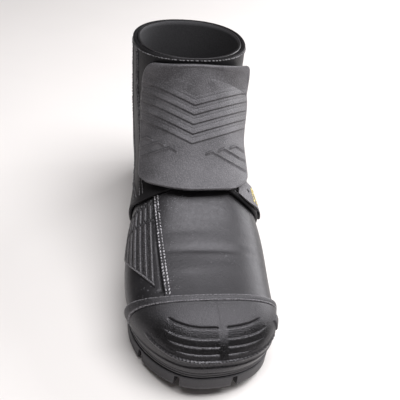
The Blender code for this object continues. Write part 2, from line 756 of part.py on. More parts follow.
def flap_edge(share, lateral):
    # Half width of the flap at a share of its length, with rounded corners.
    half = FLAP_HALF_WIDTH + np.where(lateral, FLAP_LATERAL_FLARE, FLAP_MEDIAL_FLARE) * share
    for way, corner in ((share, FLAP_CORNER), (1.0 - share, FLAP_TOP_CORNER)):
        part = np.clip(way * (FLAP_END - FLAP_START) / corner, 0.0, 1.0)
        half = half - corner * (1.0 - np.sqrt(1.0 - (1.0 - part) ** 2))
    return half


def build_flap():
    # Stiff spark guard that hangs from the collar over the instep and stands off below.
    low, high = np.array([0.0, 0.012, 0.035, 0.07]), np.array([0.83, 0.9, 0.95, 0.985, 1.0])
    share = np.concatenate([low, np.linspace(0.13, 0.75, 6), high])
    part = np.linspace(-1.0, 1.0, 17)
    shares, parts = np.meshgrid(share, part, indexing="ij")
    side = flap_edge(shares, parts > 0) * parts
    sweep = np.where(parts > 0, FLAP_LATERAL_SWEEP, FLAP_MEDIAL_SWEEP) * side**2
    along = FLAP_START + sweep + (FLAP_END - FLAP_START - sweep) * shares
    across = FLAP_MIDDLE + side
    wing = FLAP_WING * ease((shares - 0.45) / 0.4) * np.clip(parts, 0.0, 1.0) ** 2
    stand = FLAP_STAND + FLAP_LIFT * (1.0 - shares) ** 3 + wing
    lower = on_upper(along, across, stand)
    upper = on_upper(along, across, stand + FLAP_THICKNESS)
    points, faces = slab(lower, upper)
    return solid("flap", points, faces, srgb(66, 64, 66), 0.7)


def build_medial_panel():
    # Moulded guard on the medial side with ribs that run along the boot.
    across = [-PANEL_NEAR]
    lift = [PANEL_BASE]
    pitch = (PANEL_FAR - PANEL_NEAR) / PANEL_RIBS
    for n in range(PANEL_RIBS):
        start = PANEL_NEAR + n * pitch
        for share, high in ((0.18, 0.0), (0.34, 1.0), (0.74, 1.0), (0.90, 0.0)):
            across.append(-(start + share * pitch))
            lift.append(PANEL_BASE + high * PANEL_RIB_HEIGHT)
    across.append(-PANEL_FAR)
    lift.append(PANEL_BASE)
    share = np.linspace(0.0, 1.0, 5)
    shares, acrosses = np.meshgrid(share, np.array(across), indexing="ij")
    depth = (-acrosses - PANEL_NEAR) / (PANEL_FAR - PANEL_NEAR)
    start = PANEL_START + PANEL_START_SLANT * depth
    along = start + (PANEL_END - start) * shares
    low = on_upper(along, acrosses, np.full(along.shape, CLEARANCE))
    lifts = np.repeat(np.array(lift)[None, :], len(share), axis=0)
    points, faces = slab(low, on_upper(along, acrosses, lifts))
    return solid("medial_panel", points, faces, srgb(36, 36, 38), 0.5)


def build_strap():
    # Webbing that leaves the flap's lateral edge and lies on the quarter.
    share = np.linspace(0.0, 1.0, 9)
    width = np.linspace(0.0, 1.0, 5)
    shares, widths = np.meshgrid(share, width, indexing="ij")
    across = STRAP_START + STRAP_LENGTH * shares
    along = STRAP_ALONG + STRAP_DRIFT * np.cos(np.pi / 2 * shares) + STRAP_WIDTH * widths
    stand = STRAP_STAND + STRAP_BOW * np.sin(np.pi * shares)
    lower = on_upper(along, across, stand)
    upper = on_upper(along, across, stand + STRAP_THICKNESS)
    points, faces = slab(lower, upper)
    return solid("side_strap", points, faces, srgb(92, 90, 90), 0.9)


def build_ring():
    # Slim rectangular ring round the lower end of the strap, of round wire.
    reach = STRAP_START + STRAP_LENGTH + RING_WIRE / 2 + CLEARANCE * 2
    corners = ((-0.5, 0.0), (0.5, 0.0), (0.5, 1.0), (-0.5, 1.0))
    middle = STRAP_ALONG + STRAP_WIDTH / 2
    path = []
    for (a0, c0), (a1, c1) in zip(corners, corners[1:] + corners[:1]):
        for t in (0.12, 0.5, 0.88):
            path.append((a0 + (a1 - a0) * t, c0 + (c1 - c0) * t))
    path = np.array(path)
    along = middle + path[:, 0] * (STRAP_WIDTH + RING_WIRE * 2)
    across = reach + path[:, 1] * RING_REACH
    centre_line = on_upper(along, across, np.full(len(along), RING_STAND))
    ahead = unit(np.roll(centre_line, -1, axis=0) - np.roll(centre_line, 1, axis=0))
    run, turn = place(along, across)
    out = upper_normal(run, turn)
    side = unit(np.cross(ahead, out))[:, None]
    rise = unit(np.cross(side[:, 0], ahead))[:, None]
    angle = np.linspace(0.0, 2 * np.pi, 9)[:-1, None]
    loops = centre_line[:, None] + RING_WIRE / 2 * (np.cos(angle) * side + np.sin(angle) * rise)
    points, faces = tube(loops)
    return solid("strap_ring", points, faces, srgb(30, 30, 32), 0.4, 0.6)


def clear_scene():
    for item in list(bpy.data.objects):
        bpy.data.objects.remove(item, do_unlink=True)


def centre(pieces):
    # Stand the boot with the middle of its box over the origin.
    corners = np.concatenate([np.array([v.co for v in piece.data.vertices]) for piece in pieces])
    low, high = corners.min(axis=0), corners.max(axis=0)
    stand = bpy.data.objects.new("boot", None)
    bpy.context.collection.objects.link(stand)
    stand.location = (-(low[0] + high[0]) / 2, -(low[1] + high[1]) / 2, -low[2])
    for piece in pieces:
        piece.parent = stand


clear_scene()
centre(
    [
        build_outsole(),
        build_midsole(),
        build_insole(),
        build_upper(),
        build_quarters(),
        build_toe_cap(),
        build_toe_bead(),
        build_flap(),
        build_medial_panel(),
        build_strap(),
        build_ring(),
    ]
)
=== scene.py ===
import bmesh
import bpy
import numpy as np
from mathutils import Matrix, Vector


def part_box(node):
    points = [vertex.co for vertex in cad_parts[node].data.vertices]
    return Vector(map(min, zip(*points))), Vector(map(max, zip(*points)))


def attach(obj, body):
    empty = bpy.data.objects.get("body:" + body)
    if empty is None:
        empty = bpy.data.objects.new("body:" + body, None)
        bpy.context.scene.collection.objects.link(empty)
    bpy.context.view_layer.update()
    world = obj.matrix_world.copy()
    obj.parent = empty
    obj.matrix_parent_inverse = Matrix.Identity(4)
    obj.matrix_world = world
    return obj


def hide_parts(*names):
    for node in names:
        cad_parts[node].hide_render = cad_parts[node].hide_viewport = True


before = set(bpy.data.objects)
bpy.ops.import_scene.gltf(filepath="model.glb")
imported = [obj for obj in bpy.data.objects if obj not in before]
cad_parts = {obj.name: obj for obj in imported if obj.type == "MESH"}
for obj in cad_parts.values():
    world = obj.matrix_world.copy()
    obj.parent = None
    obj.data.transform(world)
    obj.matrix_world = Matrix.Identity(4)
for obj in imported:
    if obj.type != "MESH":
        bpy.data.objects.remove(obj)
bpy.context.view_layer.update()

chance = np.random.default_rng(11)
print("frame loaded:", len(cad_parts), "solids")

# The boot's own form, in millimetres: s runs from the back of the heel to the toe tip, x is
# positive on the lateral side and z is up from the floor. A pair such as heelBreast, here and in the
# settings below, is a mark: a place and the run of its fade or the half width of its bell.
last = dict(
    length=305.0,
    inflare=1.5,
    inflareStart=115.0,
    medialToeReach=74.0,
    lateralToeReach=50.0,
    toePower=2.3,
    heelReach=44.0,
    heelPower=2.2,
    archRise=9.0,
    heelBreast=(80.0, 9.0),
    archEnd=(116.0, 34.0),
    toeSpring=11.0,
    springStart=226.0,
    springShare=0.85,
    heelBevel=2.5,
    heelBevelRun=14.0,
    featherMargin=-3.8,
    capReach=48.0,
    capPower=2.45,
    bellyTurn=0.56,
    footPower=2.2,
    seat=0.3,
)
soleTable = dict(
    s=(0, 40, 75, 110, 150, 190, 215, 245, 272, 305),
    medial=(40, 40, 38.5, 36, 42.5, 52.5, 55.5, 56, 52.5, 44),
    lateral=(40.5, 41, 42, 44, 49, 56, 57.5, 57, 56.5, 56),
)
levelTable = dict(
    s=(0, 55, 105, 150, 190, 226, 305),
    outsoleTop=(16, 15.5, 16, 14.5, 13, 13, 13),
    feather=(33, 32, 29, 25, 22.5, 21.5, 21.5),
)
# sections of the upper: run goes along the bottom edge from the toe, then up the heel
sectionTable = dict(
    run=(0, 28, 54, 80, 107, 135, 165, 197, 231, 265, 291, 328, 368, 408, 437.4),
    topS=(301.2, 273.2, 247.2, 221.2, 195.5, 172, 151, 134, 121.5, 113.5, 109, 106, 104, 103, 102.5),
    topZ=(56, 59, 63.5, 70.5, 80.5, 94, 110.5, 128, 144, 156.5, 164.5, 170, 174.5, 178, 180.5),
    medial=(43, 52, 57.5, 59, 57.5, 53, 47.5, 44, 43, 43, 43, 43.5, 44, 44.5, 45),
    lateral=(57, 57.5, 57.5, 58.5, 59, 56, 50.5, 47.5, 46.5, 46.5, 46.5, 46.5, 46.5, 46.5, 46.5),
    belly=(0.38, 0.38, 0.38, 0.38, 0.39, 0.40, 0.42, 0.44, 0.46, 0.48, 0.5, 0.5, 0.5, 0.5, 0.5),
    crown=(2.5, 2.45, 2.4, 2.32, 2.25, 2.15, 2.08, 2.04, 2.03, 2.03, 2.05, 2.08, 2.12, 2.16, 2.2),
)
backTable = dict(rise=(0, 22, 60, 100, 140), s=(3.8, 4.6, 8.5, 12, 11))


def naturalCurve(knots, values):
    # natural cubic through the knots: second derivatives from a tridiagonal system
    x, y = np.asarray(knots, float), np.asarray(values, float)
    step = np.diff(x)
    slope = np.diff(y) / step
    system = np.diag(np.r_[1.0, 2 * (step[:-1] + step[1:]), 1.0])
    system += np.diag(np.r_[0.0, step[1:]], 1) + np.diag(np.r_[step[:-1], 0.0], -1)
    bend = np.linalg.solve(system, np.r_[0.0, 6 * np.diff(slope), 0.0])

    def at(where):
        q = np.clip(np.asarray(where, float), x[0], x[-1])
        i = np.clip(np.searchsorted(x, q) - 1, 0, len(x) - 2)
        a, b = (x[i + 1] - q) / step[i], (q - x[i]) / step[i]
        arc = ((a**3 - a) * bend[i] + (b**3 - b) * bend[i + 1]) * step[i] ** 2 / 6
        return a * y[i] + b * y[i + 1] + arc

    return at


def curvesOf(table):
    # one natural cubic for each column, over the table's first column
    knots = next(iter(table.values()))
    return {name: naturalCurve(knots, column) for name, column in table.items()}


sole, level, section, back = map(curvesOf, (soleTable, levelTable, sectionTable, backTable))
toeTip = last["length"] + last["featherMargin"]
heelEnd = -last["featherMargin"]
featherRun = toeTip - heelEnd
collarRun = sectionTable["run"][-1]


def ease(t):
    # smooth step 3t^2 - 2t^3 between 0 and 1
    t = np.clip(t, 0.0, 1.0)
    return t * t * (3.0 - 2.0 * t)


def hump(t):
    # bell curve exp(-t^2)
    return np.exp(-np.square(t))


def fadeIn(where, mark):
    # smooth step from 0 at the mark's place to 1 a run beyond it
    return ease((where - mark[0]) / mark[1])


def fadeOut(where, mark):
    # smooth step from 1 a run before the mark's place to 0 at it
    return ease((mark[0] - where) / mark[1])


def bellAt(where, mark):
    # bell curve at the mark's place with its half width
    return hump((where - mark[0]) / mark[1])


def spanWindow(where, low, high, fade):
    # 1 between two values, easing to 0 inside both ends
    return fadeIn(where, (low, fade)) * fadeOut(where, (high, fade))


def endRound(distance, reach, power):
    # superellipse end: share of the full width at a distance from the tip
    u = np.clip(distance / reach, 0.0, 1.0)
    return (1.0 - (1.0 - u) ** power) ** (1.0 / power)


def toeRound(distance, lateral):
    # the toe's superellipse, with a reach for each side
    reach = np.where(lateral, last["lateralToeReach"], last["medialToeReach"])
    return endRound(distance, reach, last["toePower"])


def axisX(s):
    # middle line, a parabola towards the medial side in front of the arch
    t = np.clip((s - last["inflareStart"]) / (last["length"] - last["inflareStart"]), 0.0, None)
    return -last["inflare"] * t * t


def halfWidth(s, lateral, margin):
    # the table's width plus a margin, times the rounding of toe and heel
    half = np.where(lateral, sole["lateral"](s), sole["medial"](s)) + margin
    heel = endRound(s + margin, last["heelReach"], last["heelPower"])
    return half * toeRound(last["length"] + margin - s, lateral) * heel


def springZ(s):
    # toe spring, a parabola from its start to the toe tip
    t = np.clip((s - last["springStart"]) / (last["length"] - last["springStart"]), 0.0, None)
    return last["toeSpring"] * t * t


def treadZ(s):
    # underside: heel and forefoot on the floor, arch and toe raised
    arch = fadeIn(s, last["heelBreast"]) * (1.0 - fadeIn(s, last["archEnd"]))
    bevel = np.clip((last["heelBevelRun"] - s) / last["heelBevelRun"], 0.0, 1.0)
    return last["archRise"] * arch + springZ(s) + last["heelBevel"] * bevel * bevel


def outsoleTopZ(s):
    # the table's level plus the toe spring
    return level["outsoleTop"](s) + springZ(s)


def featherZ(s):
    # bottom edge of the upper: the table's level plus a share of the toe spring
    return level["feather"](s) + last["springShare"] * springZ(s)


def sectionAngles(turn):
    # above the belly an angle from the crest, below it the sine of the way to the bottom edge
    part = np.abs(turn)
    angle = np.clip(part / last["bellyTurn"], 0.0, 1.0) * np.pi / 2
    below = np.clip((part - last["bellyTurn"]) / (1.0 - last["bellyTurn"]), 0.0, 1.0)
    return part < last["bellyTurn"], angle, np.sin(below * np.pi / 2)


def heightShare(run, turn):
    # height in a section, 0 at the bottom edge and 1 at the crest
    belly, crown = section["belly"](run), 2.0 / section["crown"](run)
    above, angle, tuck = sectionAngles(turn)
    return np.where(above, belly + (1.0 - belly) * np.cos(angle) ** crown, belly * (1.0 - tuck))


def baseLine(run):
    # bottom edge of the upper, then the back of the heel, in side view
    rise = np.clip(run - featherRun, 0.0, None)
    onFeather = run < featherRun
    s = np.where(onFeather, toeTip - run, back["s"](rise))
    z = np.where(onFeather, featherZ(s), featherZ(heelEnd) + rise) + last["seat"]
    return s, z


def crestHeight(run):
    # height of a section over its bottom edge, rounded off at the toe
    rise = section["topZ"](run) - baseLine(run)[1]
    return rise * endRound(run, last["capReach"], last["capPower"])


def sectionHalf(run, lateral):
    # half width of a section, rounded off at the toe and never quite nothing
    half = np.where(lateral, section["lateral"](run), section["medial"](run))
    return np.maximum(half * toeRound(run, lateral), 1e-6)


def tuckWidth(foot, tuck):
    # share of the half width below the belly: a superellipse from 1 down to the foot's share
    power = last["footPower"]
    return np.maximum(1.0 - (1.0 - foot**power) * tuck**power, 0.0) ** (1.0 / power)


def upperSurface(run, turn):
    # section at run: superellipse above the belly, a tuck to the bottom edge below it
    run, turn = np.broadcast_arrays(np.asarray(run, float), np.asarray(turn, float))
    sBase, zBase = baseLine(run)
    lateral = turn > 0
    half = sectionHalf(run, lateral)
    foot = np.where(run < featherRun, halfWidth(sBase, lateral, last["featherMargin"]), 0.0)
    above, angle, tuck = sectionAngles(turn)
    arch = np.sin(angle) ** (2.0 / section["crown"](run))
    width = half * np.where(above, arch, tuckWidth(foot / half, tuck))
    height = heightShare(run, turn)
    s = sBase + (section["topS"](run) - sBase) * height
    z = zBase + crestHeight(run) * height
    return np.stack([axisX(s) + np.sign(turn) * width, s, z], axis=-1)


def unit(vectors):
    # each vector over its own length
    return vectors / np.maximum(np.linalg.norm(vectors, axis=-1, keepdims=True), 1e-12)


def normalOf(surface, first, second, steps, ends):
    # cross product of small steps along both of a surface's lines, kept inside their ends
    near, far = np.maximum(first - steps[0], ends[0]), np.minimum(first + steps[0], ends[1])
    left, right = np.maximum(second - steps[1], -1.0), np.minimum(second + steps[1], 1.0)
    along = surface(far, second) - surface(near, second)
    return unit(np.cross(along, surface(first, right) - surface(first, left)))


def upperNormal(run, turn):
    # cross product of two short steps along the upper
    run, turn = np.broadcast_arrays(np.asarray(run, float), np.asarray(turn, float))
    steps, ends = (0.05, 0.002), (0.02, collarRun)
    return normalOf(upperSurface, run, turn, steps, ends)


def lifted(run, turn, lift):
    # the surface moved out along its normal
    lift = np.asarray(lift, float)
    return upperSurface(run, turn) + lift[..., None] * upperNormal(run, turn)


def keepAboveFeather(points):
    # z is at least that of the upper's bottom edge
    points[..., 2] = np.maximum(points[..., 2], featherZ(points[..., 1]) + last["seat"])


def lengthsOf(points, axis=0):
    # distances between neighbours, summed up from the first point
    steps = np.linalg.norm(np.diff(points, axis=axis), axis=-1)
    start = np.zeros_like(np.take(steps, [0], axis=axis))
    return np.concatenate([start, np.cumsum(steps, axis=axis)], axis=axis)


ruling = dict(
    toeRoot=6.0, toeRows=25, restFrom=37.0, restRows=260, turns=401, half=150.0, marks=601, outline=900,
)


def crestTable():
    # lengths along the crest and across each section, for placing things in millimetres
    toe = np.linspace(0.0, ruling["toeRoot"], ruling["toeRows"]) ** 2
    run = np.concatenate([toe, np.linspace(ruling["restFrom"], collarRun, ruling["restRows"])])
    turn = np.linspace(-1.0, 1.0, ruling["turns"])
    points = upperSurface(run[:, None], turn[None, :])
    middle = len(turn) // 2
    across = lengthsOf(points, 1)
    across -= across[:, middle : middle + 1]
    ruler = np.linspace(-ruling["half"], ruling["half"], ruling["marks"])
    turns = np.array([np.interp(ruler, row, turn) for row in across])
    along = lengthsOf(points[:, middle])
    return dict(run=run, along=along, turn=turn, across=across, ruler=ruler, turns=turns)


crest = crestTable()


def readTable(table, rowAt, rows, columnAt, columns):
    # bilinear reading of a table on its row and column marks
    i = np.clip(np.searchsorted(rows, rowAt) - 1, 0, len(rows) - 2)
    j = np.clip(np.searchsorted(columns, columnAt) - 1, 0, len(columns) - 2)
    u = np.clip((rowAt - rows[i]) / (rows[i + 1] - rows[i]), 0.0, 1.0)
    v = np.clip((columnAt - columns[j]) / (columns[j + 1] - columns[j]), 0.0, 1.0)
    low = table[i, j] * (1 - v) + table[i, j + 1] * v
    high = table[i + 1, j] * (1 - v) + table[i + 1, j + 1] * v
    return low * (1 - u) + high * u


def place(along, across):
    # run and turn of a point from its length along the crest and across the section
    along, across = np.broadcast_arrays(np.asarray(along, float), np.asarray(across, float))
    run = np.interp(along, crest["along"], crest["run"])
    return run, readTable(crest["turns"], run, crest["run"], across, crest["ruler"])


def measure(run, turn):
    # the way back: length along the crest and across the section
    along = np.interp(run, crest["run"], crest["along"])
    return along, readTable(crest["across"], run, crest["run"], turn, crest["turn"])


def onUpper(along, across, lift):
    # point at these lengths, lifted off the upper
    run, turn = place(along, across)
    return lifted(run, turn, np.broadcast_to(np.asarray(lift, float), run.shape))


def outlineSide(lateral, margin=0.0):
    # one side of the sole from toe tip to heel as points and lengths
    share = (1.0 + np.cos(np.linspace(0.0, np.pi, ruling["outline"]))) / 2
    s = -margin + (last["length"] + 2 * margin) * share
    x = axisX(s) + (1 if lateral else -1) * halfWidth(s, lateral, margin)
    points = np.stack([x, s], axis=-1)
    return points, lengthsOf(points)


def soleFrame():
    # shift from the boot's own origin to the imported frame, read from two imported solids
    outline = np.concatenate([outlineSide(True)[0], outlineSide(False)[0]])[:, 0] / 1000
    low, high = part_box("outsole")
    middle = (low[0] + high[0] - outline.max() - outline.min()) / 2
    return np.array([middle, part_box("upper")[0][1] + toeTip / 1000, 0.0])


bootShift = soleFrame()


def toFrame(points):
    # boot millimetres to the frame's metres, with the toe towards -Y
    points = np.asarray(points, float) / 1000
    return np.stack([points[..., 0], -points[..., 1], points[..., 2]], axis=-1) + bootShift


def gridQuads(index):
    # the four corners of each cell of a grid
    corners = [index[:-1, :-1], index[:-1, 1:], index[1:, 1:], index[1:, :-1]]
    return np.stack(corners, axis=-1).reshape(-1, 4)


def volumeOf(points, faces):
    # signed volume, a sum of tetrahedra on the origin
    a, b, c, d = (points[faces[:, k]] for k in range(4))
    return np.sum(a * np.cross(b, c)) + np.sum(a * np.cross(c, d))


# metres within which points are one, and below which an edge is dropped
weld = dict(near=0.000012, sliver=0.000004)


def addPiece(
    name, points, faces, materials, node=None, looks=None, fit=None, marks=None, sharp=None
):
    # closed mesh at the origin from boot millimetres, turned outward and welded
    placed = toFrame(np.asarray(points).reshape(-1, 3))
    faces = np.asarray(faces)
    if volumeOf(placed, faces) < 0:
        faces = faces[:, ::-1]
    mesh = bpy.data.meshes.new(name)
    mesh.from_pydata(placed.tolist(), [], faces.tolist())
    for made in materials:
        mesh.materials.append(made)
    if looks is not None:
        mesh.polygons.foreach_set("material_index", np.asarray(looks, np.int32))
    for mark, values in (marks or {}).items():
        layer = np.zeros(len(placed), np.float32)
        layer[: np.size(values)] = np.ravel(values)
        mesh.attributes.new(mark, "FLOAT", "POINT").data.foreach_set("value", layer)
    if fit is not None:
        corner = np.empty(len(mesh.loops), np.int32)
        mesh.loops.foreach_get("vertex_index", corner)
        mesh.uv_layers.new(name="fit").data.foreach_set("uv", np.reshape(fit, (-1, 2))[corner].ravel())
    work = bmesh.new()
    work.from_mesh(mesh)
    bmesh.ops.remove_doubles(work, verts=work.verts, dist=weld["near"])
    bmesh.ops.dissolve_degenerate(work, edges=work.edges, dist=weld["sliver"])
    work.to_mesh(mesh)
    work.free()
    mesh.shade_smooth()
    if sharp is not None:
        mesh.set_sharp_from_angle(angle=np.radians(sharp))
    piece = bpy.data.objects.new(name, mesh)
    bpy.context.collection.objects.link(piece)
    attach(piece, "root")
    if node is not None:
        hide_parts(node)
    print("made", name, "with", len(mesh.polygons), "faces")


def sheetPiece(name, top, under, material, node, fit=None, ends=(), **marks):
    # two grids of points that meet along their borders, or are joined there by end faces
    points = np.concatenate([top.reshape(-1, 3), under.reshape(-1, 3)])
    index = np.arange(len(points)).reshape(2, *top.shape[:2])
    faces = np.concatenate([gridQuads(index[0]), gridQuads(index[1])[:, ::-1], *ends])
    addPiece(name, points, faces, [material], node, fit=fit, marks=marks)


def edgeLift(distance, reach):
    # quarter circle: share of the half thickness at a distance from a rounded edge
    u = np.clip(distance / reach, 0.0, 1.0)
    return np.sqrt(1.0 - (1.0 - u) ** 2)


def roundMarks(reach, count=6):
    # marks of a quarter circle seen from the side
    return reach * (1.0 - np.cos(np.linspace(0.0, np.pi / 2, count)))


def edgedLine(length, count, reach):
    # marks along a length with a quarter circle of extra marks at both ends
    turn = roundMarks(reach)
    return np.concatenate([turn, np.linspace(reach, length - reach, count)[1:-1], length - turn[::-1]])


# Shader maths: a wire is a socket that takes part in sums
class Wire:
    def __init__(self, tree, socket=None):
        self.tree, self.socket = tree, socket

    def node(self, kind, settings, sockets, output=0):
        # a new node with its settings, its inputs linked or set, as a wire from one output
        made = self.tree.nodes.new("ShaderNode" + kind)
        for key, value in settings.items():
            setattr(made, key, value)
        for key, value in sockets.items():
            if isinstance(value, Wire):
                self.tree.links.new(value.socket, made.inputs[key])
            else:
                made.inputs[key].default_value = value
        return Wire(self.tree, made.outputs[output])

    def maths(self, operation, first, second=0.0):
        # one sum of two wires or numbers
        return self.node("Math", {"operation": operation}, {0: first, 1: second})

    def __add__(self, other):
        return self.maths("ADD", self, other)

    def __sub__(self, other):
        return self.maths("SUBTRACT", self, other)

    def __rsub__(self, other):
        return self.maths("SUBTRACT", other, self)

    def __mul__(self, other):
        return self.maths("MULTIPLY", self, other)

    __radd__ = __add__
    __rmul__ = __mul__

    def within(self, low, high):
        # smooth 0 to 1 between two values
        sockets = {"Value": self, "From Min": low, "From Max": high}
        return self.node("MapRange", {"interpolation_type": "SMOOTHSTEP"}, sockets)

    def blend(self, first, second):
        # colour mix with this wire as the factor
        return self.node("Mix", {"data_type": "RGBA"}, {0: self, 6: first, 7: second}, 2)


def grey(value, tint=(1.0, 1.0, 1.0)):
    # a tone times a tint
    return (value * tint[0], value * tint[1], value * tint[2], 1.0)


def tones(look):
    # the dark and the light tone, each times the tint
    return grey(look["dark"], look["tint"]), grey(look["light"], look["tint"])


class Finish:
    # one material: constant sockets are set on the shader, the rest is wired to it
    def __init__(self, name, **fixed):
        self.made = bpy.data.materials.new(name)
        self.made.use_nodes = True
        self.tree = self.made.node_tree
        self.shader = self.tree.nodes["Principled BSDF"]
        for socket, value in fixed.items():
            self.shader.inputs[socket.replace("_", " ")].default_value = value
        self.wire = Wire(self.tree)
        spot = self.wire.node("TexCoord", {}, {}, "Object")
        self.spotMm = self.wire.node("VectorMath", {"operation": "SCALE"}, {0: spot, "Scale": 1000.0})

    def noise(self, size, detail=3.0, rough=0.55):
        # fractal noise with a grain size in millimetres
        sockets = {"Vector": self.spotMm, "Scale": 1.0 / size, "Detail": detail, "Roughness": rough}
        return self.wire.node("TexNoise", {}, sockets)

    def cells(self, size):
        # distance to the nearest of scattered points, by a size in millimetres
        return self.wire.node("TexVoronoi", {"feature": "F1"}, {"Vector": self.spotMm, "Scale": 1.0 / size})

    def bands(self, direction, scale):
        # waves across the piece's own fit map
        sheet = self.wire.node("UVMap", {"uv_map": "fit"}, {})
        settings = {"wave_type": "BANDS", "bands_direction": direction}
        return self.wire.node("TexWave", settings, {"Vector": sheet, "Scale": scale}, 1)

    def mark(self, name):
        # a value that the mesh carries at its points
        return self.wire.node("Attribute", {"attribute_name": name}, {}, "Fac")

    def paint(self, socket, value):
        # a wire into one of the shader's sockets
        self.tree.links.new(value.socket, self.shader.inputs[socket])

    def bump(self, height, depthMm):
        # a height times a depth in millimetres tilts the normal
        sockets = {"Strength": 1.0, "Distance": depthMm / 1000, "Height": height}
        self.paint("Normal", self.wire.node("Bump", {}, sockets))


def leatherFinish(name, look):
    # grain of small cells in a slow wrinkle; pale scuffs and specks; painted shade, near black, where the
    # mesh marks it
    gloss = dict(Coat_Weight=look["coat"], Coat_Roughness=look["coatRough"])
    skin = Finish(name, Specular_IOR_Level=look["shine"], Specular_Tint=sheen, **gloss)
    grain = skin.cells(look["grain"])
    slow = skin.noise(look["wrinkle"], 4.0, 0.6)
    patch = skin.noise(look["patch"], 2.0)
    worn = skin.noise(look["patch"] * 0.8, 2.0).within(0.55, 0.7) * 0.35 + skin.mark("wear")
    scratch = skin.noise(look["scuff"], 6.0, 0.7).within(look["scuffFrom"], look["scuffFrom"] + 0.08) * worn
    speck = 1.0 - skin.cells(look["speck"]).within(0.14, 0.3)
    scratch = scratch + speck * skin.mark("dust") * skin.noise(look["speck"] * 3.0, 2.0).within(0.5, 0.6)
    tone = patch.within(0.35, 0.68).blend(*tones(look))
    scuffed = (scratch * look["scuffShare"]).blend(tone, grey(look["pale"], look["tint"]))
    # painted shade: near black where the mesh marks it
    soil = skin.mark("soil")
    skin.paint("Base Color", soil.blend(scuffed, grey(0.003)))
    skin.paint("Roughness", look["rough"] + (slow - 0.5) * 0.25 + scratch * 0.2 + soil * 0.4)
    skin.bump(grain * 0.45 + slow * 1.1 + scratch * 0.3, look["depth"])
    return skin.made


def rubberFinish(name, look):
    # moulded rubber: a fine pebble, dust in patches and flecks, painted shade near black in grooves, pale
    # rubbed edges that on the cap's step ledges are also a painted highlight, and polished faces that are
    # smoother and darker with painted shade
    skin = Finish(name, Specular_IOR_Level=look["shine"], Specular_Tint=sheen)
    pale = grey(look["pale"], look["tint"])
    pebble = skin.cells(look["pebble"])
    fine = skin.noise(look["pebble"] * 0.7, 3.0, 0.6)
    patch = skin.noise(look["patch"], 3.0)
    polish = skin.mark("polish")
    # polished faces: lower roughness, and a darker base colour that is painted shade
    tone = polish.blend(patch.within(0.35, 0.7).blend(*tones(look)), grey(look["dark"] * 0.35))
    dust = pebble.within(0.25, 0.75) * fine.within(0.3, 0.7) * look["dust"]
    fleck = 1.0 - skin.cells(look["fleckSize"]).within(0.1, 0.22)
    fleck = fleck * skin.noise(look["fleckSize"] * 5.0, 3.0).within(0.5, 0.6) * look["fleck"]
    dusty = fleck.blend(dust.blend(tone, pale), pale)
    # painted shade: near black in grooves and along step edges, where the mesh marks it
    soiled = (skin.mark("soil") * look["soil"]).blend(dusty, grey(0.004))
    # pale where rubbed, and on the cap's step ledges a painted highlight as well
    rubAndHighlight = skin.mark("wear") * skin.noise(look["rubAndHighlightSize"], 4.0, 0.65).within(0.38, 0.62) * look["rubAndHighlight"]
    skin.paint("Base Color", rubAndHighlight.blend(soiled, pale))
    skin.paint("Roughness", look["rough"] + (patch - 0.5) * 0.2 + (fine - 0.5) * 0.15 - polish * 0.13)
    skin.bump(pebble * 0.7 + fine * 0.6, look["depth"])
    return skin.made


def weaveFinish(name, look):
    # plain weave: half the sum of two crossed waves, with fuzz, and painted shade near black where the mesh
    # marks it
    skin = Finish(name)
    fuzz = skin.noise(look["fuzz"], 4.0, 0.7)
    warp, weft = (skin.bands(direction, look["threads"]) for direction in "XY")
    cloth = warp * 0.5 + weft * 0.5 + (fuzz - 0.5) * 0.8
    skin.paint("Base Color", skin.mark("soil").blend(cloth.within(0.2, 0.9).blend(*tones(look)), grey(0.004)))
    skin.paint("Roughness", look["rough"] + (fuzz - 0.5) * 0.1)
    skin.bump(cloth, look["depth"])
    return skin.made


def plainFinish(name, look):
    # even tone with a faint mottling, for thread, felt and the painted ring
    skin = Finish(name, Metallic=look.get("metal", 0.0))
    mottle = skin.noise(look["size"], 4.0, 0.65)
    skin.paint("Base Color", mottle.within(0.3, 0.7).blend(*tones(look)))
    skin.paint("Roughness", look["rough"] + (mottle - 0.5) * 0.2)
    skin.bump(mottle, look["depth"])
    return skin.made


cool = (0.99, 0.965, 1.06)
warm = (1.0, 0.97, 1.04)
sheen = (1.0, 0.97, 1.05, 1.0)
vampLook = dict(
    shine=0.44, coat=0.07, coatRough=0.3, grain=0.8, wrinkle=2.6, patch=26.0, scuff=1.6, scuffFrom=0.58,
    scuffShare=0.7, speck=1.5, dark=0.007, light=0.014, pale=0.34, tint=cool, rough=0.42, depth=0.1,
)
quarterLook = dict(vampLook, shine=0.2, coat=0.04, dark=0.005, light=0.01, rough=0.5, depth=0.12, grain=1.0)
capLook = dict(
    shine=0.46, pebble=0.9, patch=18.0, dark=0.008, light=0.016, pale=0.2, tint=warm, rough=0.43, depth=0.17,
    rubAndHighlight=0.8, rubAndHighlightSize=1.0, soil=0.85, dust=0.1, fleck=0.35, fleckSize=1.5,
)
flapLook = dict(
    capLook, shine=0.44, pebble=1.1, dark=0.05, light=0.085, pale=0.26, rough=0.5, depth=0.22, rubAndHighlight=0.3,
    dust=0.3, fleck=0.5,
)
soleLook = dict(capLook, pebble=0.6, dark=0.016, light=0.031, rough=0.52, depth=0.06, rubAndHighlight=0.3)
beadLook = dict(capLook, dark=0.009, light=0.017, pale=0.42, rubAndHighlight=0.9, rubAndHighlightSize=0.9, rough=0.46)
panelLook = dict(
    capLook, shine=0.34, dark=0.008, light=0.015, pale=0.3, rubAndHighlight=0.85, rubAndHighlightSize=0.8, rough=0.48, depth=0.1,
    dust=0.4, fleck=0.8, fleckSize=1.2,
)
webLook = dict(threads=0.22, fuzz=1.3, dark=0.06, light=0.3, tint=warm, rough=0.85, depth=0.25)
liningLook = dict(size=0.8, dark=0.03, light=0.055, tint=cool, rough=0.9, depth=0.2)
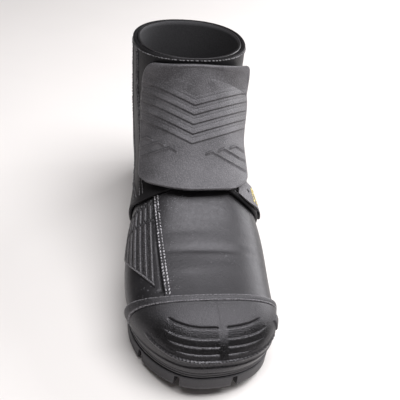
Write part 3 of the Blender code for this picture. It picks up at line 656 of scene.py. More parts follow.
feltLook = dict(size=1.1, dark=0.045, light=0.08, tint=cool, rough=0.95, depth=0.3)
threadLook = dict(size=2.4, dark=0.1, light=0.62, tint=warm, rough=0.7, depth=0.05)
blackLook = dict(threadLook, dark=0.03, light=0.22)
yellowLook = dict(size=0.4, dark=0.62, light=0.85, tint=(1.0, 0.82, 0.3), rough=0.6, depth=0.05)
ringLook = dict(size=2.0, dark=0.012, light=0.02, tint=cool, rough=0.35, depth=0.03, metal=0.5)

vampLeather = leatherFinish("vampLeather", vampLook)
quarterLeather = leatherFinish("quarterLeather", quarterLook)
capRubber = rubberFinish("capRubber", capLook)
flapRubber = rubberFinish("flapRubber", flapLook)
soleRubber = rubberFinish("soleRubber", soleLook)
beadRubber = rubberFinish("beadRubber", beadLook)
panelRubber = rubberFinish("panelRubber", panelLook)
webbing = weaveFinish("webbing", webLook)
liningCloth = plainFinish("liningCloth", liningLook)
felt = plainFinish("felt", feltLook)
greyThread = plainFinish("greyThread", threadLook)
blackThread = plainFinish("blackThread", blackLook)
yellowThread = plainFinish("yellowThread", yellowLook)
ringPaint = plainFinish("ringPaint", ringLook)
print("finishes ready")


# Upper: one wall with the vamp's lap over the side guard and soft creases across the ball
upper = dict(
    wall=2.2,
    lap=1.1,                # height of the vamp's cut edge
    lapRound=0.7,
    lapBeyond=1.9,
    lapLeft=0.5,            # share of the cut edge's height that is left by the flap
    lapFade=(122.0, 48.0),
    seamAt=-28.4,           # outer stitch row where it meets the toe bead
    seamLean=-0.07,
    seamFrom=62.0,
    rowGap=2.6,
    # the slot's dark colour is painted shade
    slot=(-0.9, 0.8),       # dark slot at the foot of the cut edge
    slotDeep=0.8,
    slotStart=(67.0, 1.5),
    slitAlong=(67.0, 1.1),  # short cut across the slot's front end
    slitAcross=(-1.2, 2.6),
    steep=0.75,             # a crease is steep on its toe side and gentle on the other
    gentle=1.7,
)
# rows from the toe to the collar, close together over the ball; columns close together by the lap
upperGrid = dict(
    toeRoot=6.0, toeRows=12, vamp=(37.5, 150.0, 112), waistFrom=153.0, waistRows=36, heelRun=14.0, heelRows=9,
    shaftRows=36, columns=((-1.0, -0.27, 56), (-0.268, -0.15, 56), (-0.14, 1.0, 88)),
)
# where the relief fades out, where the leather is rubbed and dusty, and where the slot's painted shade ends
vampWear = dict(
    reliefStart=(20.0, 12.0), reliefEnd=(158.0, 8.0), reliefRim=(0.97, 0.15), rubAlong=(142.0, 9.0),
    rubAcross=(-17.0, 10.0), dustAlong=(60.0, 6.0), dustAcross=(-4.0, 14.0), soilEnd=(150.0, 8.0),
)
heelBend = dict(reach=22.0, zone=26.0, rim=(0.97, 0.4), samples=9)
# creases: along, across, bow of the line, half length, half width, depth
creases = dict(
    along=(99.5, 106.0, 118.0, 127.0, 90.0, 136.0, 111.0, 84.0),
    across=(10.0, 6.0, -6.0, 18.0, 22.0, 8.0, 44.0, -10.0),
    bow=(0.0012, 0.001, 0.002, 0.003, 0.0015, 0.004, 0.002, 0.001),
    reach=(34.0, 36.0, 20.0, 24.0, 18.0, 22.0, 14.0, 16.0),
    width=(3.2, 6.0, 5.0, 5.5, 4.5, 5.0, 4.0, 6.0),
    depth=(0.45, -0.34, 0.24, 0.2, 0.14, 0.16, 0.14, -0.25),
)


def seamAcross(along):
    # straight line that leans towards the medial side
    return upper["seamAt"] + upper["seamLean"] * (along - upper["seamFrom"])


def lapHigh(along):
    # full height by the toe bead, easing down to a share of it by the flap
    return upper["lap"] * (upper["lapLeft"] + (1.0 - upper["lapLeft"]) * fadeOut(along, upper["lapFade"]))


def vampRelief(along, across):
    # lap step less its slot, less a sum of bell-shaped troughs along bowed lines
    beyond = across - seamAcross(along) + upper["lapBeyond"]
    slot = fadeIn(along, upper["slotStart"]) * fadeOut(along, upper["lapFade"])
    slot = slot * bellAt(beyond, upper["slot"])
    gap = np.maximum(slot, bellAt(along, upper["slitAlong"]) * bellAt(beyond, upper["slitAcross"]))
    relief = lapHigh(along) * ease(beyond / upper["lapRound"]) - upper["slotDeep"] * gap
    for at, side, bow, reach, width, depth in zip(*creases.values()):
        line = at + bow * (across - side) ** 2
        skew = width * np.where(along > line, upper["gentle"], upper["steep"])
        relief = relief - depth * bellAt(along, (line, skew)) * bellAt(across, (side, reach))
    return relief, gap


def shellFaces(rows, columns, closedFrom):
    # outer and inner wall joined along the bottom edges; rows past closedFrom meet at the heel
    outer = np.arange(rows * columns).reshape(rows, columns)
    inner = outer + rows * columns
    rims = []
    for edge in (0, -1):
        pair = np.stack([outer[: closedFrom + 1, edge], inner[: closedFrom + 1, edge]], axis=1)
        rims.append(gridQuads(pair) if edge else gridQuads(pair)[:, ::-1])
    rim = gridQuads(np.stack([outer[-1], inner[-1]]))
    return np.concatenate([gridQuads(outer), gridQuads(inner)[:, ::-1], *rims, rim]), len(gridQuads(outer))


def heelSeam(grid, closedFrom, x):
    # both edges of the rows above the heel meet on the back line
    middle = (grid[closedFrom:, 0] + grid[closedFrom:, -1]) / 2
    middle[:, 0] = x
    grid[closedFrom:, 0] = middle
    grid[closedFrom:, -1] = middle


def heelRounded(run, turn, lift):
    # mean of the surface over a stretch of run, widest at the heel bend and nothing at the bottom edge
    reach = heelBend["reach"] * bellAt(run, (featherRun, heelBend["zone"]))
    reach = np.minimum(reach * fadeOut(np.abs(turn), heelBend["rim"]), collarRun - run)
    steps = np.linspace(-1.0, 1.0, heelBend["samples"])
    return sum(lifted(run + step * reach, turn, lift) for step in steps) / len(steps)


def buildUpper():
    # the outer wall carries the relief, the inner wall lies one thickness of leather inside it
    grid, worn = upperGrid, vampWear
    toe = np.linspace(0.0, grid["toeRoot"], grid["toeRows"]) ** 2
    waist = np.linspace(grid["waistFrom"], featherRun - grid["heelRun"], grid["waistRows"])
    heel = featherRun - grid["heelRun"] * np.linspace(1.0, 0.0, grid["heelRows"])[1:] ** 2
    shaft = np.linspace(featherRun, collarRun, grid["shaftRows"])[1:]
    run = np.concatenate([toe, np.linspace(*grid["vamp"]), waist, heel, shaft])
    turn = np.concatenate([np.linspace(*part) for part in grid["columns"]])
    closedFrom = len(run) - len(shaft) - 1
    runs, turns = np.meshgrid(run, turn, indexing="ij")
    along, across = measure(runs, turns)
    relief, gap = vampRelief(along, across)
    relief *= fadeIn(runs, worn["reliefStart"]) * fadeOut(runs, worn["reliefEnd"])
    relief *= fadeOut(np.abs(turns), worn["reliefRim"])
    outside = heelRounded(runs, turns, relief)
    inside = heelRounded(runs, turns, np.full(runs.shape, -upper["wall"]))
    for edge in (0, -1):
        inside[: closedFrom + 1, edge, 2] = outside[: closedFrom + 1, edge, 2]
    inside[0] = outside[0, 0] - (0.0, upper["wall"], 0.0)
    keepAboveFeather(inside)
    heelSeam(inside, closedFrom, outside[closedFrom:, 0, 0])
    faces, outer = shellFaces(*runs.shape, closedFrom)
    order = np.arange(len(faces))
    lining = (order >= outer) & (order < 2 * outer)
    marks = dict(
        wear=bellAt(along, worn["rubAlong"]) * bellAt(across, worn["rubAcross"]),
        dust=bellAt(across - seamAcross(along), worn["dustAcross"]) * fadeIn(along, worn["dustAlong"]),
        # painted shade: near black in the slot at the foot of the cut edge
        soil=gap * fadeOut(runs, worn["soilEnd"]),
    )
    points = np.concatenate([outside.reshape(-1, 3), inside.reshape(-1, 3)])
    addPiece("vampAndLining", points, faces, [vampLeather, liningCloth], "upper", looks=lining, marks=marks)


# Quarters: thick rear leather with rounded cut edges at the front and the collar
quarter = dict(seat=0.6, thick=3.4, round=1.3, columns=141, footRows=70, footPower=1.5, shaftRows=34)
# front edge as run against turn: a tab reaches forward under the lateral strap
quarterTable = dict(
    turn=(-1.0, -0.62, -0.43, -0.35, -0.26, 0.0, 0.17, 0.25, 0.34, 0.44, 0.6, 1.0),
    run=(150.0, 151.0, 144.5, 139.6, 137.9, 141.0, 138.6, 134.0, 131.4, 133.5, 138.0, 140.0),
)
quarterFront = curvesOf(quarterTable)["run"]


def buildQuarters():
    # rows from the cut front edge to the heel, then up the shaft to the cut edge of the collar
    turn = np.linspace(-1.0, 1.0, quarter["columns"])
    start = quarterFront(turn)
    edge = roundMarks(quarter["round"])
    share = 1.0 - (1.0 - np.linspace(0.0, 1.0, quarter["footRows"])[1:, None]) ** quarter["footPower"]
    foot = np.concatenate([start + edge[:, None], start + edge[-1] + (featherRun - start - edge[-1]) * share])
    shaft = np.linspace(featherRun, collarRun - quarter["round"], quarter["shaftRows"])[1:]
    shaft = np.concatenate([shaft, collarRun - edge[-2::-1]])
    runs = np.concatenate([foot, np.repeat(shaft[:, None], len(turn), axis=1)])
    turns = np.broadcast_to(turn, runs.shape)
    bulge = edgeLift(runs - start, quarter["round"]) * edgeLift(collarRun - runs, quarter["round"])
    middle = quarter["seat"] + quarter["thick"] / 2
    closedFrom = len(foot) - 1
    grids = []
    for side in (1, -1):
        grid = heelRounded(runs, turns, middle + side * bulge * quarter["thick"] / 2)
        for rim in (0, -1):
            grid[: closedFrom + 1, rim, 2] = baseLine(runs[: closedFrom + 1, rim])[1]
        heelSeam(grid, closedFrom, 0.0)
        grids.append(grid.reshape(-1, 3))
    faces, _ = shellFaces(*runs.shape, closedFrom)
    addPiece("quarterLeathers", np.concatenate(grids), faces, [quarterLeather], "quarters")


# Toe cap: a dome over stepped bars, a strip down its middle and a knurled ledge bead
cap = dict(
    start=262.5, seat=0.8, thick=2.2, endPower=0.85, round=1.0, rearRound=0.2, medialSweep=7.5,
    lateralSweep=6.0, rearScale=60.0, footScale=40.0, crestFrom=0.9975, rows=140, rowEdge=0.02, columns=301,
)
# its relief, by climb from the bottom edge to the crest and by turn from end to end
capForm = dict(
    lean=0.07, sag=0.09, stripAt=10.0, strip=(3.0, 1.0),
    lines=(0.70, 0.555, 0.44, 0.325, 0.20), trench=1.5, grooveHalf=0.012, grooveFade=0.1,
    medialEnds=(-0.60, -0.54, -0.49, -0.38), lateralEnds=(0.66, 0.60, 0.48, 0.36),
    step=0.75, stepHigh=0.35, stepTop=0.009, stepFoot=0.007, stepFade=0.22, rubAndHighlight=0.8, rubAndHighlightLine=(-0.012, 0.009),
    knurlAt=0.20, knurlBow=0.30, knurlLean=0.05, knurlHigh=1.3, knurlHalf=0.028, knurlEnd=(0.78, 0.1),
    knurlPitch=2.6, knurlTwist=40.0, toothDeep=0.4, toothRub=0.7, clear=0.05,
    ledge=(0.13, 0.03), ledgeOut=0.9,
    barOut=1.3, barAt=(0.42, 0.84), barHalf=(0.12, 0.07), barFade=(0.03, 0.02),
    mouldHigh=0.2, mouldHalf=0.5, mouldLean=6.0, mouldFrom=0.6, mouldFoot=(0.24, 0.05),
    polishFade=0.03, polishEnds=(-0.8, 0.78),
)
capRun = toeTip - cap["start"]


def rearSweep(height, lateral):
    # how far the cap's rear edge lies back of its crest, a parabola over the height share
    return np.where(lateral, cap["lateralSweep"], cap["medialSweep"]) * (1.0 - height**2)


def toeWidth(run, height, lateral):
    # half width of an upright toe section at a height: superellipse over a tuck
    share = np.clip(height / np.maximum(crestHeight(run), 1e-6), 0.0, 1.0)
    half = sectionHalf(run, lateral)
    foot = halfWidth(toeTip - run, lateral, last["featherMargin"]) / half
    belly, crown = section["belly"](run), section["crown"](run)
    high = np.clip((share - belly) / (1.0 - belly), 0.0, 1.0)
    low = np.clip((belly - share) / belly, 0.0, 1.0)
    arch = (1.0 - high**crown) ** (1.0 / crown)
    return half * np.where(share > belly, arch, tuckWidth(foot, low))


def capSurface(climb, turn):
    # lines wrapped round the toe: climb from the bottom edge to the crest, turn from end to end
    climb, turn = np.broadcast_arrays(np.asarray(climb, float), np.asarray(turn, float))
    frontRun = capRun * climb**2
    frontHeight = crestHeight(frontRun)
    way = turn * turn
    endHeight = climb ** cap["endPower"]
    endRun = capRun + rearSweep(endHeight, turn > 0)
    run = frontRun + (endRun - frontRun) * way
    height = frontHeight + (crestHeight(endRun) * endHeight - frontHeight) * way
    x = axisX(toeTip - run) + np.sign(turn) * toeWidth(run, height, turn > 0)
    return np.stack([x, toeTip - run, baseLine(run)[1] + height], axis=-1)


def capLifted(climb, turn, lift):
    # moved out along the normal; at the crest, where the lines meet, along the upper's own
    steps, ends = (0.004, 0.004), (0.0, 1.0)
    normal = normalOf(capSurface, climb, turn, steps, ends)
    points = capSurface(climb, turn) + lift[..., None] * normal
    top = climb > cap["crestFrom"]
    points[top] = lifted(capRun, 0.0, lift[top])
    keepAboveFeather(points)
    return points


def capRelief(climb, turn, x, arc):
    # groove under the dome, bars that step out below it, knurled bead, ledge, side bar and mould line; also
    # the pale rub of wear with a painted highlight on the ledges, painted shade for the groove, and a
    # polished face that is partly painted shade
    form, lines = capForm, capForm["lines"]
    tilted = climb + form["lean"] * turn - form["sag"] * turn**2
    beside = fadeIn(np.abs(x - form["stripAt"]), form["strip"])
    ends = list(zip(form["medialEnds"], form["lateralEnds"]))
    groove = bellAt(tilted, (lines[0], form["grooveHalf"])) * beside
    groove = groove * spanWindow(turn, *ends[0], form["grooveFade"])
    relief = -form["trench"] * groove
    rubAndHighlight = np.zeros(climb.shape)
    for at, below, end in zip(lines, lines[1:], ends):
        part = spanWindow(turn, *end, form["stepFade"]) * beside
        face = np.clip((at - tilted) / (at - below), 0.0, 1.0)
        inside = fadeOut(tilted, (at, form["stepTop"])) * fadeIn(tilted, (below, form["stepFoot"]))
        relief = relief + form["step"] * (form["stepHigh"] - face) * inside * part
        # pale line along each step's ledge: wear and a painted highlight
        rubAndHighlight = rubAndHighlight + form["rubAndHighlight"] * bellAt(tilted - at, form["rubAndHighlightLine"]) * part
    knurl = form["knurlAt"] + form["knurlBow"] * turn**2 - form["knurlLean"] * turn
    bead = bellAt(climb, (knurl, form["knurlHalf"])) * fadeOut(np.abs(turn), form["knurlEnd"])
    teeth = 0.5 + 0.5 * np.sin(2 * np.pi * (arc + form["knurlTwist"] * (climb - knurl)) / form["knurlPitch"])
    relief = relief * fadeIn(climb, (knurl, form["clear"]))
    relief = relief + bead * (form["knurlHigh"] - form["toothDeep"] * teeth)
    relief = relief + form["ledgeOut"] * fadeOut(climb, form["ledge"])
    bar = form["barOut"]
    for where, at, half, fade in zip((climb, turn), form["barAt"], form["barHalf"], form["barFade"]):
        bar = bar * spanWindow(where, at - half, at + half, fade)
    mould = form["stripAt"] - form["mouldLean"] * np.clip(tilted - form["mouldFrom"], 0.0, 1.0)
    line = bellAt(x, (mould, form["mouldHalf"])) * fadeIn(tilted, form["mouldFoot"])
    relief = relief + bar + form["mouldHigh"] * line
    rubAndHighlight = rubAndHighlight + form["rubAndHighlight"] * bead * (1.0 - form["toothRub"] * teeth)
    # the face below the groove: smoother by its polish, and darker by painted shade
    polish = fadeOut(tilted, (lines[0], form["polishFade"]))
    return relief, rubAndHighlight, groove, polish * spanWindow(turn, *form["polishEnds"], form["stepFade"])


def buildToeCap():
    # the relief stands on the outer side only, and both sides meet in rounded edges
    climb = edgedLine(1.0, cap["rows"], cap["rowEdge"])
    turn = np.linspace(-1.0, 1.0, cap["columns"])
    climbs, turns = np.meshgrid(climb, turn, indexing="ij")
    bare = capSurface(climbs, turns)
    relief, rubAndHighlight, groove, polish = capRelief(climbs, turns, bare[..., 0], lengthsOf(bare, 1))
    rear = edgeLift((1.0 - np.abs(turns)) * cap["rearScale"], cap["rearRound"])
    bulge = np.minimum(rear, edgeLift(climbs * cap["footScale"], cap["round"]))
    middle, half = cap["seat"] + cap["thick"] / 2, bulge * cap["thick"] / 2
    top = capLifted(climbs, turns, middle + half + relief * bulge)
    under = capLifted(climbs, turns, middle - half)
    # the groove carries painted shade, the ledges a painted highlight with the wear, and the polished face
    # partly painted shade
    sheetPiece("toeCapShell", top, under, capRubber, "toe_cap", wear=rubAndHighlight, soil=groove, polish=polish)


# Bead along the rear edge of the cap: a low band with a lip on each side
bead = dict(
    gap=0.1, width=5.6, medialSpread=5.0, height=4.4, lip=0.7, lipAt=(0.12, 0.9), lipHalf=0.08, frontDrop=1.0,
    nick=(0.055, 0.006), nickDeep=0.5, rows=25, columns=221,
)


def buildToeBead():
    # a flattened hoop over the band, lower in front, with two lips and a nick at the crest
    share = (1.0 - np.cos(np.linspace(0.0, np.pi, bead["rows"]))) / 2
    turn = np.linspace(-1.0, 1.0, bead["columns"])
    shares, turns = np.meshgrid(share, turn, indexing="ij")
    height = heightShare(np.full(turns.shape, capRun), turns)
    spread = np.where(turns < 0, bead["medialSpread"], 0.0) * (1.0 - height**2)
    runs = capRun + bead["gap"] + rearSweep(height, turns > 0) + (bead["width"] + spread) * shares
    hoop = np.sqrt(np.maximum(1.0 - (2 * shares - 1) ** 4, 0.0))
    lips = sum(bellAt(shares, (at, bead["lipHalf"])) for at in bead["lipAt"])
    fall = bead["frontDrop"] * (1.0 - shares) ** 2 + bead["nickDeep"] * bellAt(turns, bead["nick"])
    high = (bead["height"] - fall + bead["lip"] * (lips - 1.0)) * hoop
    top = lifted(runs, turns, last["seat"] + high)
    under = lifted(runs, turns, np.full(runs.shape, last["seat"]))
    for grid in (top, under):
        keepAboveFeather(grid)
    index = np.arange(runs.size).reshape(runs.shape)
    ends = [gridQuads(np.stack([line, line + runs.size], axis=1)) for line in (index[::-1, 0], index[:, -1])]
    sheetPiece("toeBeadBand", top, under, beadRubber, "toe_bead", ends=ends, wear=lips * hoop)


# Flap: a stiff moulded guard with shingled chevrons and short bars at its sides
flap = dict(
    thick=3.6, half=42.5, medialFlare=12.0, lateralFlare=26.0, medialCorner=11.0, lateralCorner=20.0,
    topCorner=26.0, start=149.0, end=260.5, medialSweep=0.0117, lateralSweep=0.0038, middle=-1.5, stand=4.6,
    lift=4.0, wing=6.0, wingStart=(0.45, 0.4), round=1.6, border=(2.0, 2.0), sink=0.3, rubAndHighlight=0.6,
    rubAndHighlightLine=(1.2, 1.0), rows=190, columns=190, columnEdge=0.05,
)
# its relief is drawn on a plane; up and deep are the plane's directions as shares of -s and z
flapForm = dict(
    planeAt=(177.0, 100.0), up=(0.72, 0.69), deep=(0.68, -0.73), deepAt=6.0, apexX=-2.7, apexV=39.7,
    slide=(0.115, 0.2), tilt=5.5, pitch=8.2, count=5, slope=0.414, step=1.1, stepFade=0.05, stepRise=0.07,
    score=(0.62, 0.05), scoreDeep=0.25, scoreShade=0.3, soil=(0.02, 0.06),
    bars=3, barPitch=10.0, barStep=3.4, barFrom=17.0, barDrop=0.47, barStart=-3.3, barShort=(-5.5, 0.6),
    barEdge=(0.0, 0.6), barTail=(-3.2, 2.6), barShade=0.45,
)


def flapEdge(share, lateral):
    # half width along the flap, with quarter circles at its corners
    length = flap["end"] - flap["start"]
    corner = np.where(lateral, flap["lateralCorner"], flap["medialCorner"])
    low = np.clip(share * length / corner, 0.0, 1.0)
    top = np.clip((1.0 - share) * length / flap["topCorner"], 0.0, 1.0)
    cut = corner * (1.0 - edgeLift(low, 1.0)) + flap["topCorner"] * (1.0 - edgeLift(top, 1.0))
    return flap["half"] + np.where(lateral, flap["lateralFlare"], flap["medialFlare"]) * share - cut


def flapRelief(points):
    # chevrons: saw teeth of the height over a bent line; below them bent bars on both sides
    form = flapForm
    ahead, above = form["planeAt"][0] - points[..., 1], points[..., 2] - form["planeAt"][1]
    deep = form["deep"][0] * ahead + form["deep"][1] * above - form["deepAt"]
    x = points[..., 0] - form["apexX"] - form["slide"][0] * deep
    v = form["up"][0] * ahead + form["up"][1] * above - form["apexV"] - form["slide"][1] * deep
    turn = np.radians(form["tilt"])
    side = np.abs(x * np.cos(turn) - v * np.sin(turn))
    up = x * np.sin(turn) + v * np.cos(turn)
    q = (up - form["slope"] * side) / form["pitch"]
    tooth = np.clip(q, 0.0, form["count"]) % 1.0
    edge = spanWindow(q, 0.0, form["count"], form["stepFade"])
    score = bellAt(tooth, form["score"]) * edge
    relief = form["step"] * (1.0 - tooth) * ease(tooth / form["stepRise"]) * edge - form["scoreDeep"] * score
    # painted shade: dark lines along each chevron's step edge and score, and under each bar's lower edge
    line = bellAt(tooth, form["soil"]) * ease(q / form["soil"][0]) * edge + form["scoreShade"] * score
    for n in range(form["bars"]):
        beyond = side - form["barFrom"] - n * form["barPitch"]
        drop = up - form["barStart"] - n * form["barStep"] + form["barDrop"] * np.abs(beyond)
        reach = fadeIn(beyond, form["barShort"])
        bar = fadeOut(drop, form["barEdge"]) * fadeIn(drop, form["barTail"]) * reach
        relief = relief + form["step"] * bar
        line = line + hump(drop / form["barShade"]) * reach
    return relief, line


def buildFlap():
    # share runs up the flap, part from its medial to its lateral edge; it stands off most at its foot
    length = flap["end"] - flap["start"]
    share = edgedLine(length, flap["rows"], flap["round"]) / length
    part = edgedLine(2.0, flap["columns"], flap["columnEdge"]) - 1.0
    shares, parts = np.meshgrid(share, part, indexing="ij")
    side = flapEdge(shares, parts > 0) * parts
    sweep = np.where(parts > 0, flap["lateralSweep"], flap["medialSweep"]) * side**2
    along = flap["start"] + sweep + (length - sweep) * shares
    across = flap["middle"] + side
    wing = flap["wing"] * fadeIn(shares, flap["wingStart"]) * np.clip(parts, 0.0, 1.0) ** 2
    stand = flap["stand"] + flap["lift"] * (1.0 - shares) ** 3 + wing
    rim = np.minimum(np.minimum(shares, 1.0 - shares) * length, (1.0 - np.abs(parts)) * flap["half"])
    inside = fadeIn(rim, flap["border"])
    middle, half = stand + flap["thick"] / 2, edgeLift(rim, flap["round"]) * flap["thick"] / 2
    relief, line = flapRelief(onUpper(along, across, middle))
    top = onUpper(along, across, middle + half + (relief - flap["sink"]) * inside)
    under = onUpper(along, across, middle - half)
    rubAndHighlight = flap["rubAndHighlight"] * bellAt(rim, flap["rubAndHighlightLine"])
    sheetPiece("sparkFlap", top, under, flapRubber, "flap", wear=rubAndHighlight, soil=line * inside)


# Medial guard: ribs along the boot, two slanting rows of pits and a raised front border
guard = dict(
    near=37.0, far=75.0, ribs=8, base=1.0, rib=1.1, start=71.0, slant=48.0, end=151.5, seat=0.3, round=0.9,
    ribFront=(0.1, 0.12), ribBack=(0.95, 0.6), ribIn=(2.2, 1.5), ribOut=(0.0, 1.0), lip=(2.6, 0.8),
    lipRub=0.8, pitRows=(131.8, 147.6), pitWide=1.4, pitAt=0.2, pitEdge=(0.34, 0.1), pitDeep=1.5,
    fade=(-61.0, 9.0), fadeLeft=0.4, rubAndHighlightLine=(0.22, 0.05), soilLine=(0.04, 0.08), rows=90, rowEdge=0.02,
    columns=177,
)


def buildGuard():
    # each rib is an eased saw tooth of the depth; pits are bells along the boot, cut into the teeth
    span = guard["far"] - guard["near"]
    across = -np.linspace(guard["near"], guard["far"], guard["columns"])
    share = edgedLine(1.0, guard["rows"], guard["rowEdge"])
    shares, acrosses = np.meshgrid(share, across, indexing="ij")
    depth = (-acrosses - guard["near"]) / span
    start = guard["start"] + guard["slant"] * depth
    along = start + (guard["end"] - start) * shares
    front, rear = along - start, guard["end"] - along
    ends = np.minimum(front, rear)
    rim = np.minimum(ends, np.minimum(depth, 1.0 - depth) * span)
    phase = depth * guard["ribs"] % 1.0
    rib = fadeIn(phase, guard["ribFront"]) * fadeOut(phase, guard["ribBack"])
    rib = rib * fadeIn(front, guard["ribIn"]) * fadeIn(rear, guard["ribOut"])
    lip = fadeOut(front, guard["lip"])
    pits = sum(bellAt(along, (at, guard["pitWide"])) for at in guard["pitRows"])
    pits = pits * fadeOut(np.abs(phase - guard["pitAt"]), guard["pitEdge"])
    high = guard["base"] + guard["rib"] * np.maximum(rib, lip) - guard["pitDeep"] * pits
    left = guard["fadeLeft"] + (1.0 - guard["fadeLeft"]) * fadeIn(acrosses, guard["fade"])
    high = high * left - guard["seat"]
    top = onUpper(along, acrosses, guard["seat"] + high * edgeLift(rim, guard["round"]))
    under = onUpper(along, acrosses, guard["seat"])
    edges = bellAt(phase, guard["rubAndHighlightLine"]) * fadeIn(ends, guard["ribIn"]) * (1.0 - pits)
    edges = edges + lip * guard["lipRub"]
    # painted shade in the rib troughs and the pits
    soil = np.minimum(bellAt(phase, guard["soilLine"]) + pits, 1.0)
    sheetPiece("ribbedGuard", top, under, panelRubber, "medial_panel", wear=edges, soil=soil)


# Sole layers: loops round the outline, toe tip to heel on both sides, with strips across
tread = dict(
    toeBlock=40.0, blocks=8, slot=5.4, slotWall=(0.0, 0.2, 0.4, 0.6, 0.8, 1.4), slope=0.8, deep=11.5,
    innerDeep=5.0, reach=17.0, channel=4.0, edge=1.2, topShare=0.7, topInset=6.0, floorLeft=1.6, topRub=0.35,
    edgeRub=0.9, topRows=(1, 5), edgeRows=(10, 15), wall=(0.2, 0.4, 0.6, 0.8), topSteps=4, floorSteps=26,
    toeMarks=16, blockMarks=15, slack=0.01, tangentRun=0.6,
    barPitch=11.0, barGap=3.6, barDeep=3.0, barBend=6.0, barFade=0.6, barEnd=(0.44, 0.05),
)


def treadMarks(total):
    # lengths of the outline points on one side, and how far each lies in a slot
    first, width = tread["toeBlock"] / 2, tread["slot"]
    pitch = (total - 2 * first) / tread["blocks"]
    wall = np.array(tread["slotWall"])
    slotMarks = np.r_[wall, width / 2, width - wall[::-1]]
    marks = [np.linspace(0.0, first, tread["toeMarks"])[:-1]]
    for n in range(tread["blocks"] + 1):
        start = first + n * pitch
        stop = start + pitch if n < tread["blocks"] else total
        marks += [start + slotMarks, np.linspace(start + width, stop, tread["blockMarks"])[1:-1]]
    marks = np.concatenate([*marks, [total]])
    phase = (marks - first) % pitch
    inSlot = np.minimum(phase, width - phase) / tread["slope"]
    slack = tread["slack"]
    slotted = (marks > first - slack) & (marks < total - first + width + slack)
    return marks, np.where(slotted, ease(inSlot), 0.0)


def soleLoop(margin=0.0):
    # outline points in one loop, outward directions and slot depth shares
    edges, outs, cuts = [], [], []
    for lateral in (True, False):
        points, length = outlineSide(lateral, margin)
        marks, cut = treadMarks(length[-1])

        def at(where, points=points, length=length):
            # past the toe or heel the line goes on into the other side, mirrored about the axis
            inside = np.clip(where, 0.0, length[-1])
            over = where - inside
            spot = np.stack([np.interp(inside, length, points[:, k]) for k in (0, 1)], axis=-1)
            spot[:, 0] -= np.abs(over) * (1 if lateral else -1)
            return spot

        tangent = unit(at(marks + tread["tangentRun"]) - at(marks - tread["tangentRun"]))
        outward = np.stack([-tangent[:, 1], tangent[:, 0]], axis=-1)
        if not lateral:
            outward = -outward
        edges.append(at(marks))
        outs.append(outward)
        cuts.append(cut)
    join = [np.concatenate([a, b[-2:0:-1]]) for a, b in (edges, outs, cuts)]
    return (*join, len(edges[0]))


def soleRing(edge, outward, inset, heightAt):
    # the outline moved in by an inset, at the heights of a function of s
    points = edge - outward * inset
    return np.concatenate([points, heightAt(points[:, 1])[:, None]], axis=1)


def loopPiece(name, rows, sideCount, strips, material, node, sharp=35.0, **marks):
    # loops joined in order; the first and last are closed by strips from side to side
    loops = np.stack(rows)
    index = np.arange(loops.shape[0] * loops.shape[1]).reshape(loops.shape[:2])
    faces = [gridQuads(np.concatenate([index, index[:, :1]], axis=1))]
    points = [loops.reshape(-1, 3)]
    total = index.size
    for row, (steps, form) in zip((0, -1), strips):
        lateral = loops[row, :sideCount]
        medial = np.concatenate([loops[row, :1], loops[row, : sideCount - 2 : -1]])
        share = np.linspace(0.0, 1.0, steps)[:, None, None]
        strip = lateral[None] * (1 - share) + medial[None] * share
        if form is not None:
            strip[..., 2] += form(strip[..., 1], share[..., 0])
        table = np.arange(strip.shape[0] * strip.shape[1]).reshape(strip.shape[:2]) + total
        faces.append(gridQuads(table) if row else gridQuads(table)[:, ::-1])
        points.append(strip.reshape(-1, 3))
        total += table.size
    addPiece(name, np.concatenate(points), np.concatenate(faces), [material], node, marks=marks, sharp=sharp)


def crossBars(s, share):
    # height of the gaps between bars under the forefoot and heel, which bend in the middle
    pitch = tread["barPitch"]
    bent = (s + tread["barBend"] * np.abs(share - 0.5)) % pitch
    gap = fadeIn(np.abs(bent - pitch / 2), ((pitch - tread["barGap"]) / 2, tread["barFade"]))
    return tread["barDeep"] * gap * fadeOut(np.abs(share - 0.5), tread["barEnd"])


def buildOutsole():
    # loops from the top edge down the wall, round the lower edge and in over the tread to the channel
    edge, outward, cut, sideCount = soleLoop()

    def top(inset, drop):
        return soleRing(edge, outward, inset, lambda s: outsoleTopZ(s) - drop)

    def under(inset, depth, waist=1.0):
        def height(s):
            room = np.maximum(outsoleTopZ(s) - treadZ(s) - tread["floorLeft"], 0.0) * waist
            return treadZ(s) + np.minimum(depth, room)

        return soleRing(edge, outward, inset, height)

    r, small, reach, slope = (tread[key] for key in ("edge", "topShare", "reach", "slope"))
    deep, inner = cut * tread["deep"], cut * tread["innerDeep"]
    full, none = np.full(len(cut), tread["innerDeep"]), np.zeros(len(cut))
    rear = reach + tread["channel"]
    corner = [(r * (1 - np.sin(a)), r * (1 - np.cos(a))) for a in np.linspace(0.0, np.pi / 2, 5)]
    rows = [top(r + tread["topInset"], 0.0)] + [top(inset * small, drop * small) for inset, drop in corner]
    high, low = top(0.0, r * small), under(0.0, deep + r)
    rows += [high * (1 - share) + low * share for share in tread["wall"]]
    rows += [under(inset, deep + rise) for inset, rise in corner[::-1]]
    # from the lower edge to the channel: inset, depth, share of the depth that the waist leaves
    floor = [
        (0.3 * reach, deep, 0.95), (0.34 * reach, inner, 0.9), (0.65 * reach, inner, 0.9),
        (0.95 * reach, inner, 0.9), (reach, inner, 0.8), (reach + slope, full, 0.8),
        (rear, full, 0.8), (rear + slope, none, 1.0),
    ]
    rows += [under(*step) for step in floor]
    wear = np.zeros((len(rows), len(cut)))
    wear[slice(*tread["topRows"])] = tread["topRub"]
    wear[slice(*tread["edgeRows"])] = tread["edgeRub"] * (1 - cut)
    strips = (tread["topSteps"], None), (tread["floorSteps"], crossBars)
    loopPiece("treadSole", rows, sideCount, strips, soleRubber, "outsole", wear=wear)


